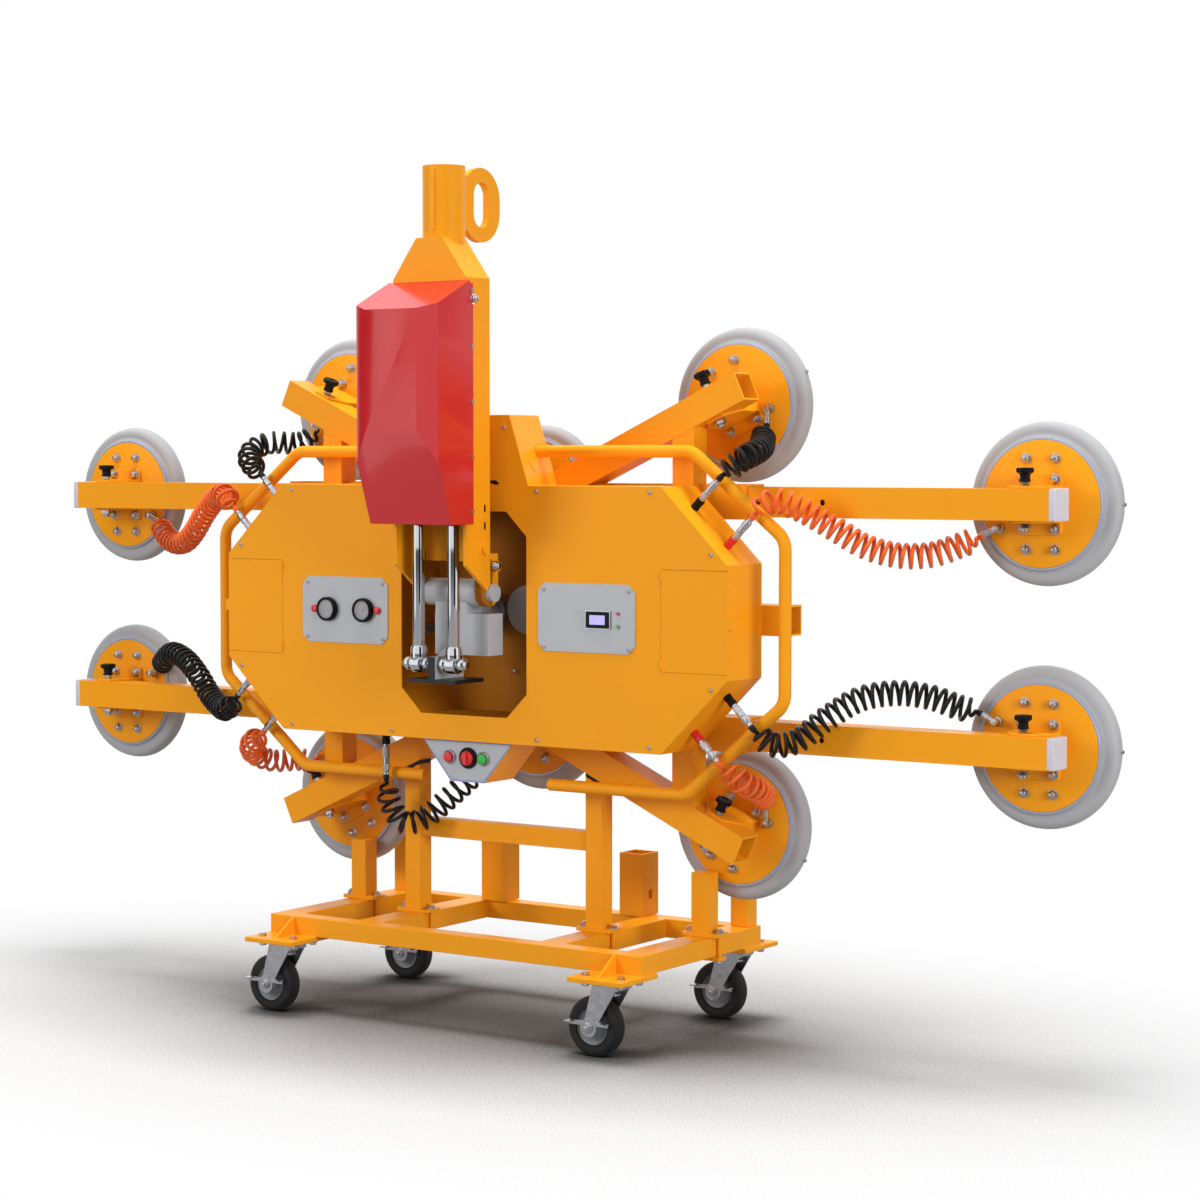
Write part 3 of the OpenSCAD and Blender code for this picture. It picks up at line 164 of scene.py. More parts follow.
# Each finish: its slot, its colour as a hex value or the name of one in the sidebar, its roughness and its own settings
FINISHES = {
    # Powder coated steel: baked polyester with a fine orange peel, semi-gloss and even in colour
    "powder_coat": ("yellow_paint", "paint", 0.34, {
        "mottle": 0.025, "grain_mm": 2.6, "relief_mm": 0.010, "Specular IOR Level": 0.18}),
    # Painted shade: the paint's own hue, darker and flat, on the steel inside the box's window and between the mast's
    # side plates, where shade falls
    "inner_primer": ("yellow_paint", "#A8660F", 0.6, {"mottle": 0.08, "Specular IOR Level": 0.2}),
    # Machined steel blackened in a hot salt bath, with an oily half-gloss
    "black_oxide": ("cast_grey", "#232427", 0.36, {
        "metallic": 0.4, "mottle": 0.12, "patch_mm": 24, "grain_mm": 1.4, "relief_mm": 0.01}),
    # Sprayed gloss enamel on the sheet metal cover: smoother and shinier than the powder coat
    "red_enamel": ("red_paint", "cover", 0.22, {
        "grain_mm": 4.0, "relief_mm": 0.004, "Specular IOR Level": 0.5, "Coat Weight": 0.4, "Coat Roughness": 0.08}),
    # Bright zinc plated steel: a pale metal whose plating has small cloudy grains
    "zinc_plate": ("zinc", "#C3C5CA", 0.30, {
        "metallic": 1.0, "mottle": 0.09, "patch_mm": 14, "grain_mm": 1.5, "relief_mm": 0.006, "uneven": 0.09}),
    # Ground and hard chromed steel rod: a mirror with very fine lengthwise polish lines
    "hard_chrome": ("chrome", "#CFD1D6", 0.06, {
        "metallic": 1.0, "grain_mm": 1.2, "relief_mm": 0.002, "stretch": (1, 1, 0.08), "uneven": 0.03}),
    # Sand cast iron with grey primer: a coarse sandy skin and little shine
    "grey_casting": ("cast_grey", "#B9BBBF", 0.5, {
        "metallic": 0.1, "mottle": 0.10, "patch_mm": 30, "grain_mm": 1.8, "relief_mm": 0.10}),
    # Brushed and anodised aluminium sheet: long fine lines along X under a matte satin layer
    "anodised_plate": ("plate_silver", "#B6B9BD", 0.40, {
        "metallic": 0.35, "mottle": 0.05, "patch_mm": 40, "grain_mm": 1.1, "stretch": (0.03, 1, 1)}),
    # Turned aluminium clamp ring of a cup, satin grey; its cool blue tint is a painted reflection
    "cup_ring": ("plate_silver", "#A9B4CE", 0.34, {
        "metallic": 0.4, "mottle": 0.05, "patch_mm": 20, "grain_mm": 1.2, "relief_mm": 0.006}),
    # Moulded light grey silicone rubber of the cup lips: soft matte with a faint powdery bloom
    "cup_rubber": ("skirt_rubber", "#A9A9AC", 0.45, {
        "patch_mm": 60, "grain_mm": 1.6, "relief_mm": 0.02, "Sheen Weight": 0.15}),
    # Black moulded rubber of tyres, rests and cup faces, slightly dusty
    "black_rubber": ("rest_rubber", "#131314", 0.62, {
        "mottle": 0.18, "patch_mm": 35, "grain_mm": 1.2, "relief_mm": 0.03}),
    # Glass filled nylon, moulded with a fine spark eroded texture
    "black_nylon": ("black_plastic", "#0D0D0E", 0.42, {
        "mottle": 0.08, "patch_mm": 20, "grain_mm": 0.9, "relief_mm": 0.015, "Specular IOR Level": 0.2}),
    # Extruded polyurethane tube, glossy and almost black
    "black_hose": ("hose_black", "#0C0C0E", 0.30, {
        "mottle": 0.05, "patch_mm": 25, "relief_mm": 0.004, "Specular IOR Level": 0.4}),
    # Extruded polyurethane tube in signal orange, glossy and slightly see-through at its skin
    "orange_hose": ("hose_orange", "#E8641A", 0.28, {
        "mottle": 0.06, "patch_mm": 25, "relief_mm": 0.004, "Coat Weight": 0.3, "Coat Roughness": 0.15,
        "Subsurface Weight": 0.1, "Subsurface Radius": (0.004, 0.002, 0.001)}),
    # Moulded polyethylene end cap, pale grey with a slight lilac tone
    "cap_plastic": ("cap_plastic", "#CBC9D3", 0.38, {
        "mottle": 0.02, "patch_mm": 30, "grain_mm": 1.2, "relief_mm": 0.01}),
    # Injection moulded polypropylene of the wheel centres, satin as it leaves the mould
    "hub_grey": ("cast_grey", "#77797D", 0.42, {"mottle": 0.06, "patch_mm": 20, "grain_mm": 1.2}),
    # Thin clear acrylic over a gauge, cast and polished: only its highlights are seen
    "dial_glass": ("chrome", "#F4F6F8", 0.06, {"mottle": 0.0, "relief_mm": 0.0, "Alpha": 0.18}),
    # Polished cover of a back-lit liquid crystal screen, with a pale violet glow
    "lit_screen": ("black_plastic", "#B9B2F2", 0.3, {
        "mottle": 0.05, "patch_mm": 6, "grain_mm": 1.0, "relief_mm": 0.0, "Emission Color": linear("#A79DF0"),
        "Emission Strength": 0.35}),
    # Dark enamel sprayed on the cylinder barrels
    "barrel_enamel": ("zinc", "#3A3C40", 0.22, POLISHED),
    # Injection moulded ABS with a polished skin: caps, buttons, knobs and lamps
    "red_abs": ("red_plastic", "#D81E24", 0.22, POLISHED),
    "green_abs": ("green_plastic", "#27B03A", 0.22, POLISHED),
    # Lacquered edge of the control panel, polished and tinted blue
    "panel_edge": ("plate_silver", "#8C92C8", 0.22, POLISHED),
    # Sprayed dial of a gauge, the ink printed on it, and its dipped needle
    "dial_enamel": ("plate_silver", "#74787A", 0.22, POLISHED),
    "dial_print": ("black_plastic", "#1C1D20", 0.22, POLISHED),
    "needle_red": ("red_plastic", "#C3222A", 0.22, POLISHED),
}


def coat(name):
    """The material of a finish in the table, made when it is first asked for."""
    if name not in bpy.data.materials:
        colour, roughness, settings = FINISHES[name][1:]
        sidebar = bpy.context.scene.lifter_colours
        rgba = linear(colour) if colour[0] == "#" else tuple(getattr(sidebar, colour))
        finish(name, rgba, roughness, **settings)
    return bpy.data.materials[name]


# Surfaces


def move(x=0.0, y=0.0, z=0.0):
    """The 4 x 4 matrix that shifts by x, y and z."""
    made = np.eye(4)
    made[:3, 3] = (x, y, z)
    return made


def spin(axis, degrees):
    """The 4 x 4 matrix that turns right-handed round the axis "x", "y" or "z"."""
    a, b = {"x": (1, 2), "y": (2, 0), "z": (0, 1)}[axis]
    c, s = math.cos(math.radians(degrees)), math.sin(math.radians(degrees))
    made = np.eye(4)
    made[a, a], made[a, b], made[b, a], made[b, b] = c, -s, s, c
    return made


def flip(sx, sz):
    """The 4 x 4 matrix that mirrors in X where sx is -1, and in Z where sz is -1."""
    return np.diag([sx, 1.0, sz, 1.0])


def along(start, direction):
    """The 4 x 4 matrix that lays local Z along a direction from a start point."""
    w = np.array(direction, float) / np.linalg.norm(direction)
    u = np.cross(w, (0.3, 1.0, 0.2) if abs(w[1]) < 0.9 else (1.0, 0.0, 0.2))
    u /= np.linalg.norm(u)
    made = np.eye(4)
    made[:3, 0], made[:3, 1], made[:3, 2], made[:3, 3] = u, np.cross(w, u), w, start
    return made


# Local Z laid along X, along Y, and out of the front towards the viewer
TO_X = spin("y", 90)
TO_Y = spin("x", -90)
OUT = spin("x", 90)


def grid(points):
    """Joins an array of rows x columns x 3 points, closed round the columns, into quads, one strip per row pair."""
    rows, columns = points.shape[:2]
    near = np.arange(rows - 1)[:, None] * columns + np.arange(columns)[None, :]
    side = np.arange(rows - 1)[:, None] * columns + (np.arange(columns)[None, :] + 1) % columns
    return points.reshape(-1, 3), np.stack([near, side, side + columns, near + columns], -1).reshape(-1, 4)


def turned(profile, sides=48, phase=0.0):
    """A turned solid about local Z: each (radius, height) of the profile carried round as (r cos t, r sin t, h)."""
    r, h = np.array(profile, float).T
    t = 2 * np.pi * np.arange(sides) / sides + math.radians(phase)
    return grid(np.stack([r[:, None] * np.cos(t), r[:, None] * np.sin(t), h[:, None] + 0 * t], -1))


def waved(profile, lobes, depth, sides=60, rule=np.cos, above=0.0):
    """A turned solid with lobes: each radius above a limit is multiplied by 1 + depth times the rule of (lobes t), a
    cosine if no other rule is given."""
    t = 2 * np.pi * np.arange(sides) / sides
    wave = 1 + depth * rule(lobes * t)
    r, h = np.array(profile, float).T
    r = r[:, None] * np.where(r[:, None] > above, wave, 1.0)
    return grid(np.stack([r * np.cos(t), r * np.sin(t), h[:, None] + 0 * t], -1))


def rod(radius, start, end, edge=0.6, sides=32, phase=0.0):
    """A round or many-sided bar along local Z with small rounded rims, as a turned profile closed at both ends."""
    e = min(edge, radius * 0.5, abs(end - start) * 0.4)
    return turned([(0, start), (radius - e, start), (radius - e * 0.3, start + e * 0.3), (radius, start + e),
                   (radius, end - e), (radius - e * 0.3, end - e * 0.3), (radius - e, end), (0, end)], sides, phase)


def prism(outline, start, end):
    """A flat outline of (x, y) points, counter-clockwise, carried along local Z from start to end."""
    flat = np.array(outline, float)
    n = len(flat)
    points = np.concatenate([np.column_stack([flat, np.full(n, h)]) for h in (start, end)])
    step = np.arange(n)
    walls = np.stack([step, (step + 1) % n, (step + 1) % n + n, step + n], -1)
    return points, [list(step[::-1]), list(step + n), *walls.tolist()]


def block(x0, x1, y0, y1, z0, z1):
    """A box between six planes."""
    return prism([(x0, y0), (x1, y0), (x1, y1), (x0, y1)], z0, z1)


def smoothed(points, steps):
    """A Catmull-Rom curve through the points: each span is a cubic in t with its neighbours' chords as slopes."""
    p = np.array(points, float)
    p = np.concatenate([p[:1], p, p[-1:]])
    s = np.linspace(0, len(p) - 3, steps + 1)
    i = np.minimum(s.astype(int), len(p) - 4)
    t = (s - i)[:, None]
    a, b, c, d = p[i], p[i + 1], p[i + 2], p[i + 3]
    return 0.5 * (2 * b + (c - a) * t + (2 * a - 5 * b + 4 * c - d) * t**2 + (3 * b - a - 3 * c + d) * t**3)


def unit(v):
    """The vectors of an array brought to length 1."""
    return v / np.maximum(np.linalg.norm(v, axis=-1, keepdims=True), 1e-9)


def tube(path, across, radius, sides=12):
    """A tube: at each path point a circle r (cos t u + sin t w), with u the given side made square to the path."""
    path = np.array(path, float)
    along_it = unit(np.gradient(path, axis=0))
    u = unit(across - (across * along_it).sum(-1, keepdims=True) * along_it)
    w = np.cross(along_it, u)
    t = 2 * np.pi * np.arange(sides) / sides
    r = np.broadcast_to(np.array(radius, float), (len(path),))[:, None, None]
    ring = path[:, None] + r * (np.cos(t)[:, None] * u[:, None] + np.sin(t)[:, None] * w[:, None])
    ends = [np.repeat(path[i][None, None], sides, 1) for i in (0, -1)]
    return grid(np.concatenate([ends[0], ring, ends[1]]))


class Lot:
    """Gathers the surfaces of one piece, in the drawing's millimetres, as arrays."""

    def __init__(self):
        """Starts with no points and no faces."""
        self.points, self.faces, self.count = [], [], 0

    def add(self, surfaces, *places):
        """Adds one surface or a list of them, laid by the product of the place matrices; a mirrored one has its faces
        turned over."""
        place = np.linalg.multi_dot([np.eye(4), *places, np.eye(4)])
        step = -1 if np.linalg.det(place[:3, :3]) < 0 else 1
        for points, faces in surfaces if isinstance(surfaces, list) else [surfaces]:
            self.points.append(points @ place[:3, :3].T + place[:3, 3])
            self.faces += [[int(i) + self.count for i in face][::step] for face in faces]
            self.count += len(points)
        return self

    def piece(self, name, finish_name, body, round_mm=0.0, smooth=38.0, replaces=(), slot=None):
        """Makes the piece: doubles merged, faces pointing outwards, sharp edges rounded, riding on its body."""
        points = (np.concatenate(self.points) + (0, BOX_FRONT, 0)) * MM
        mesh = bpy.data.meshes.new(name)
        mesh.from_pydata(points.tolist(), [], self.faces)
        return finished(name, mesh, finish_name, body, round_mm, smooth, replaces)


def put(name, data):
    """A new object with this data, in the scene."""
    made = bpy.data.objects.new(name, data)
    bpy.context.scene.collection.objects.link(made)
    return made


def finished(name, mesh, finish_name, body, round_mm, smooth, replaces, join_flats=False):
    """Merges doubles, joins flat faces if asked, shades by angle, bevels and hands the piece to its body."""
    shape = bmesh.new()
    shape.from_mesh(mesh)
    bmesh.ops.remove_doubles(shape, verts=shape.verts, dist=2e-6)
    bmesh.ops.dissolve_degenerate(shape, edges=shape.edges, dist=1e-6)
    if join_flats:
        bmesh.ops.dissolve_limit(shape, angle_limit=math.radians(0.5), verts=shape.verts, edges=shape.edges)
    else:
        bmesh.ops.recalc_face_normals(shape, faces=shape.faces)
    shape.to_mesh(mesh)
    shape.free()
    mesh.shade_smooth()
    mesh.set_sharp_from_angle(angle=math.radians(smooth))
    mesh.materials.clear()
    mesh.materials.append(coat(finish_name))
    made = put(name, mesh)
    if round_mm:
        edge = made.modifiers.new("rounded_edges", "BEVEL")
        edge.width = round_mm * MM
        edge.segments = 2
        edge.limit_method = "ANGLE"
        edge.angle_limit = math.radians(smooth)
        edge.harden_normals = True
    if body:
        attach(made, body)
    if replaces:
        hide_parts(*replaces)
    return made


def softened(node, finish_name, round_mm, other=None, low=(0, 0, 0), high=(0, 0, 0)):
    """A CAD node's own shape as a new piece, with its flat faces joined and its sharp edges rounded. Faces whose middle
    lies between the corners low and high, on either side of the middle plane, get the other finish."""
    source = frame["nodes"][node]
    mesh = source.data.copy()
    for extra in ("custom_normal", "sharp_face", "sharp_edge"):
        if extra in mesh.attributes:
            mesh.attributes.remove(mesh.attributes[extra])
    made = finished(f"{node}_finished", mesh, finish_name, source["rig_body"], round_mm, 30.0, (node,), True)
    if other:
        made.data.materials.append(coat(other))
        middles = np.zeros(len(made.data.polygons) * 3)
        made.data.polygons.foreach_get("center", middles)
        middles = middles.reshape(-1, 3) / MM - (0, BOX_FRONT, 0)
        middles[:, 0] = np.abs(middles[:, 0])
        inside = ((middles > low) & (middles < high)).all(1)
        made.data.polygons.foreach_set("material_index", inside.astype(np.int32))


# Small parts that come many times


def bolt(width, height, stud=0.0, washer=0.0):
    """A hexagon head or nut along local Z: a six-sided bar, with a washer below and a stud's end above."""
    made = []
    if washer:
        made.append(rod(width * 0.66, 0, washer, 0.4, 28))
    made.append(turned([(0, washer), (width * 0.56, washer), (width * 0.577, washer + height * 0.12),
                        (width * 0.577, washer + height * 0.86), (width * 0.5, washer + height),
                        (0, washer + height)], 6, 30))
    if stud:
        made.append(rod(width * 0.3, washer + height - 0.5, washer + height + stud, 0.8, 20))
    return made


def dome_nut():
    """A cap nut along local Z: washer, hexagon and a half-round cap with its radius falling as a cosine."""
    t = np.radians(np.linspace(0, 90, 8))
    cap = [(0, 7.0), (7.9, 7.0), *zip(7.7 * np.cos(t), 7.4 + 6.2 * np.sin(t))]
    return [rod(10.6, 0, 1.8, 0.5, 28), *bolt(16.6, 5.8)[:1], turned(cap, 24)]


def socket_screw(radius=4.4):
    """A button head screw along local Z, a low dome round a sunk socket."""
    r = radius
    return [turned([(0, 0), (r, 0), (r, 0.5), (r * 0.86, 1.6), (r * 0.6, 2.3), (r * 0.5, 2.4)], 24),
            turned([(r * 0.5, 2.4), (r * 0.46, 2.2), (r * 0.44, 1.0), (0, 1.0)], 24)]


def rounded(w, h, r, steps=6):
    """A rectangle of half sizes w and h whose corners are quarter circles of radius r."""
    t = np.radians(np.linspace(0, 90, steps)[None, :] + np.array([0, 90, 180, 270])[:, None])
    corner = np.array([(1, 1), (-1, 1), (-1, -1), (1, -1)])[:, None] * (w - r, h - r)
    return (corner + r * np.stack([np.cos(t), np.sin(t)], -1)).reshape(-1, 2)


def saddle_parts(side, gap, deep):
    """The clamp of a cup, as surfaces with their places: a foot plate with rounded corners, a web to the tube and two
    lips that hold the tube."""
    h, w, foot, lip = side / 2, 45.0, 6.0, 5.0
    plan = [(-w, 1 - gap), (-w, -gap - 8), (-20, -gap - deep), (20, -gap - deep), (w, -gap - 8), (w, 1 - gap)]
    return [(prism(rounded(w, h + 29, 7), 0, foot), [OUT]),
            (block(0.4 - w, w - 0.4, -gap, 0.5 - foot, 0.4 - h - lip, h + lip - 0.4), []),
            (prism(plan, h, h + lip), []), (prism(plan, -h - lip, -h), [])]


def knob_parts(side, y, up, nut):
    """The eight-lobed grip screw that clamps a saddle, standing up from the tube, and the metal parts under it."""
    z = side / 2 + 5
    grip = waved([(0, z + 8), (10.5, z + 8), (11, z + 9), (9.2, z + 15), (10.2, z + 22), (15.6, z + 25),
                  (16.4, z + 27), (16.4, z + 32), (15.4, z + 34), (7, z + 34.2), (6.4, z + 33), (0, z + 33)],
                 8, 0.06, 64, above=9)
    place = [flip(1, up), move(0, y, 0)]
    metal = [(rod(8.6, z, z + 8.4, 0.5, 6, 30), place)]
    if nut:
        metal.append((bolt(22, 10, 6), [flip(1, up), move(0, y, -z), spin("x", 180)]))
    return [(grip, place)], metal


def elbow_parts(direction):
    """The push-in elbow on a cup: hexagon foot, round body and a barrel with a collar along the hose's direction."""
    barrel = turned([(0, 0), (6.2, 1), (6.4, 12), (5.6, 12.6), (5.6, 15), (6.6, 15.6), (6.6, 26), (7.6, 26.6),
                     (7.6, 29), (7.0, 29.8), (5.0, 30.0), (0, 30.0)], 28)
    return [([rod(10.4, 0, 8, 0.6, 6, 30), rod(7.2, 8, 24, 1.6, 28)], [OUT]),
            (barrel, [along((0, -16, 0), (direction[0], 0, direction[1]))])]


# Profiles of a cup, as (radius, height) pairs: its rubber lip and its grooved contact face
SKIRT = smoothed([(118.5, 7.0), (122.0, 6.2), (127.0, 6.4), (131.5, 8.6), (135.0, 9.2), (142.0, 9.6), (149.0, 12.2),
                  (154.0, 18.0), (156.2, 26.0), (156.5, 33.0), (155.0, 35.8), (152.4, 35.0), (150.6, 29.0),
                  (146.0, 21.0), (138.0, 16.6), (127.0, 14.2), (119.5, 13.8)], 68)
GROOVES = [point for r in (31, 53, 75, 97) for point in ((r - 1, 13.4), (r, 11.8), (r + 3, 11.8), (r + 4, 13.4))]
FACE = [(0, 5), (0, 10.5), (8, 10.5), (8.4, 9), (13, 9), (14, 13.4), *GROOVES, (114, 13.2), (117, 11.6), (117.4, 5),
        (0, 5)]
# Where a cup's elbow stands from its middle, and the way an arm cup's elbow points to its hose, as (x, z)
ARM_ELBOW, DIAGONAL_ELBOW, MIDDLE_ELBOW = (-84, -47), (78, -8), (-84, 47)
ELBOW_WAY = (-0.9, -0.436)


class LIFTER_OT_cups(bpy.types.Operator):
    """Suction cups: plates, rings, rubber lips, clamps, grips and hose elbows, fixed and on the arms."""

    bl_idname = "lifter.cups"
    bl_label = "Suction cups"

    def execute(self, context):
        """Lists each cup: its place, tilt, side of the grip, tube size, gap, clamp depth, elbow's place and way."""
        x, z = DIAGONAL_CUP
        fixed = [([flip(sx, sz), move(x, 0, z)], DIAGONAL_ANGLE, sz, 60.0, 62.5, 46.0, DIAGONAL_ELBOW, (0, -1))
                 for sx in (1, -1) for sz in (1, -1)]
        fixed += [([flip(1, sz), move(0, 0, ARM_Z)], 0.0, 1, 70.0, 33.0, 28.0, MIDDLE_ELBOW, (0, 1))
                  for sz in (1, -1)]
        self.build("fixed", "frame", fixed, ("fixed_cup_plates", "fixed_cup_skirts", "fixed_cup_brackets"))
        for key, (sx, sz) in ARMS.items():
            cup = ([flip(sx, sz), move(ARM_CUP_X, 0, ARM_Z)], 0.0, sz, 60.0, 38.0, 46.0, ARM_ELBOW, ELBOW_WAY)
            self.build(f"arm_{key}", f"slide_{key}", [cup], (f"arm_cup_{key}", f"arm_skirt_{key}", f"arm_cup_{key}"))
        return {"FINISHED"}

    def build(self, name, body, cups, nodes):
        """Builds the cups of one body, one piece for each finish."""
        plates, faces, skirts, rings, clamps, grips, metals, pins = (Lot() for _ in range(8))
        for place, tilt, sz, side, gap, deep, elbow, direction in cups:
            at = [move(0, PLATE_Y, AXIS_Z), *place]
            tilted = [*at, spin("y", -tilt)]
            plates.add(rod(PLATE_R, 0, 6.2, 1.6, 96), *at, TO_Y)
            faces.add(turned(FACE, 72), *at, TO_Y)
            skirts.add(turned(np.concatenate([SKIRT, SKIRT[:1]]), 96), *at, TO_Y)
            rings.add(turned([(121.5, 6), (121.5, 2.2), (122.3, 1.5), (125.2, 1.5), (126.4, 2.6), (126.4, 6.2),
                              (121.5, 6)], 96), *at, TO_Y)
            # Cap nuts on the clamp's foot, then on the plate
            nuts = [(px, -6, pz) for px in (-33, 33) for pz in (side / 2 + 17, -side / 2 - 17)]
            for spot in nuts + [(px, 0, pz) for px in (-30, 30) for pz in (-86, 86)]:
                metals.add(dome_nut(), *tilted, move(*spot), OUT)
            black, metal = knob_parts(side, -gap - (14 if side > 65 else side / 2), sz, side < 65)
            for lot, parts in ((clamps, saddle_parts(side, gap, deep)), (grips, black), (metals, metal)):
                for surface, own in parts:
                    lot.add(surface, *tilted, *own)
            for surface, own in elbow_parts(direction):
                metals.add(surface, *at, move(elbow[0], 0, elbow[1]), *own)
            pins.add(turned([(0, 0), (2.4, 0), (2.4, 5), (3.6, 5.6), (3.9, 7.2), (3.2, 8.6), (0, 9)], 20),
                     *tilted, move(152.5, 28.5, 0), TO_X)
        plates.piece(f"{name}_cup_plates", "powder_coat", body, replaces=nodes[:1])
        skirts.piece(f"{name}_cup_lips", "cup_rubber", body, smooth=50, replaces=nodes[1:2])
        faces.piece(f"{name}_cup_faces", "black_rubber", body, smooth=30)
        rings.piece(f"{name}_cup_rings", "cup_ring", body)
        clamps.piece(f"{name}_clamps", "powder_coat", body, round_mm=1.2, smooth=30)
        grips.piece(f"{name}_grips", "black_nylon", body)
        metals.piece(f"{name}_nuts", "zinc_plate", body, smooth=32, replaces=nodes[2:])
        pins.piece(f"{name}_lip_valves", "zinc_plate", body)


# Hoses and couplers

# Depth of the couplers, their steps along a cut corner, their length there, and the middle pair's place and length
COUPLER_Y, COUPLER_STEPS, COUPLER_LENGTH = 54.0, (61.0, 167.0), 80.0
MIDDLE_X, MIDDLE_LENGTH = -245.0, 91.0

# The hose's radius, its curl's radius, the points in each turn and those over which a curl grows
HOSE_R, CURL_R = 4.0, 22.0
TURN_POINTS, GROW_POINTS = 24, 26

# How far an elbow's end stands out from its foot, its depth, and the points that each hose passes on its way
ELBOW_REACH, ELBOW_END_Y = 30.0, PLATE_Y - 16.0
ARM_ROUTES = {
    "ur": [[700, 62, 236], [745, 92, 220], [800, 122, 185], [855, 146, 150], [915, 172, 132], [975, 196, 134],
           [1025, 216, 152]],
    "lr": [[700, 66, -236], [740, 94, -228], [790, 118, -185], [850, 142, -146], [915, 170, -133], [975, 196, -140],
           [1025, 216, -158]],
    "ul": [[-705, 62, 238], [-755, 90, 226], [-810, 116, 194], [-865, 142, 152], [-920, 168, 126], [-980, 194, 126],
           [-1030, 216, 150]],
    "ll": [[-705, 66, -238], [-755, 96, -232], [-805, 122, -212], [-855, 140, -172], [-915, 166, -142],
           [-980, 192, -130], [-1030, 216, -152]],
}
SHORT_ROUTES = {
    "ur": [[622, 78, 316], [626, 122, 330], [610, 172, 340], [588, 214, 358]],
    "lr": [[622, 78, -316], [628, 122, -334], [612, 176, -352], [588, 216, -362]],
    "ul": [[-640, 74, 312], [-662, 112, 336], [-648, 156, 352], [-604, 204, 352]],
    "ll": [[-640, 74, -312], [-662, 112, -338], [-646, 158, -356], [-602, 208, -356]],
}
MIDDLE_ROUTES = {
    1: [[-240, 64, 405], [-205, 98, 430], [-186, 150, 420], [-150, 205, 392], [-100, 230, 362]],
    -1: [[-244, 66, -412], [-221, 80, -455], [-180, 100, -446], [-148, 138, -408], [-112, 200, -352]],
}


def corner_foot(step):
    """Where a coupler leaves a cut corner of the box, a step along the corner's edge, as (x, z)."""
    return np.array([BOX_X - CUT_X, BOX_Z]) + step * CORNER_ALONG


def curled(start, leave, finish_at, arrive, route, turns):
    """A curly hose's middle line: round a smooth route cut into equal steps, each point is set off by
    r (cos t b + sin t m), where t makes the turns, and r grows from nothing over the first turn and falls back over the
    last. Returns the line and the side directions for its tube."""
    a, b = np.array(start, float), np.array(finish_at, float)
    leave, arrive = np.array(leave, float), np.array(arrive, float)
    n = TURN_POINTS * turns
    middle = smoothed([a + 12 * leave, *np.array(route, float), b + 12 * arrive], 200)
    run = np.concatenate([[0], np.cumsum(np.linalg.norm(np.diff(middle, axis=0), axis=1))])
    even = np.linspace(0, run[-1], n + 1)
    middle = np.stack([np.interp(even, run, middle[:, i]) for i in range(3)], -1)
    t = unit(np.gradient(middle, axis=0))
    side = unit(np.cross(t, (0.0, 1.0, 0.0)))
    up = np.cross(side, t)
    k = np.arange(n + 1)
    grown = np.sin(np.pi / 2 * np.clip(np.minimum(k, n - k) / GROW_POINTS, 0, 1)) ** 2
    angle = 2 * np.pi * k / TURN_POINTS
    spoke = np.cos(angle)[:, None] * side + np.sin(angle)[:, None] * up
    line = middle + CURL_R * grown[:, None] * spoke
    path = np.concatenate([[a, a + 4 * leave, a + 8 * leave], line, [b + 8 * arrive, b + 4 * arrive, b]])
    return path, np.concatenate([spoke[:1]] * 3 + [spoke] + [spoke[-1:]] * 3)


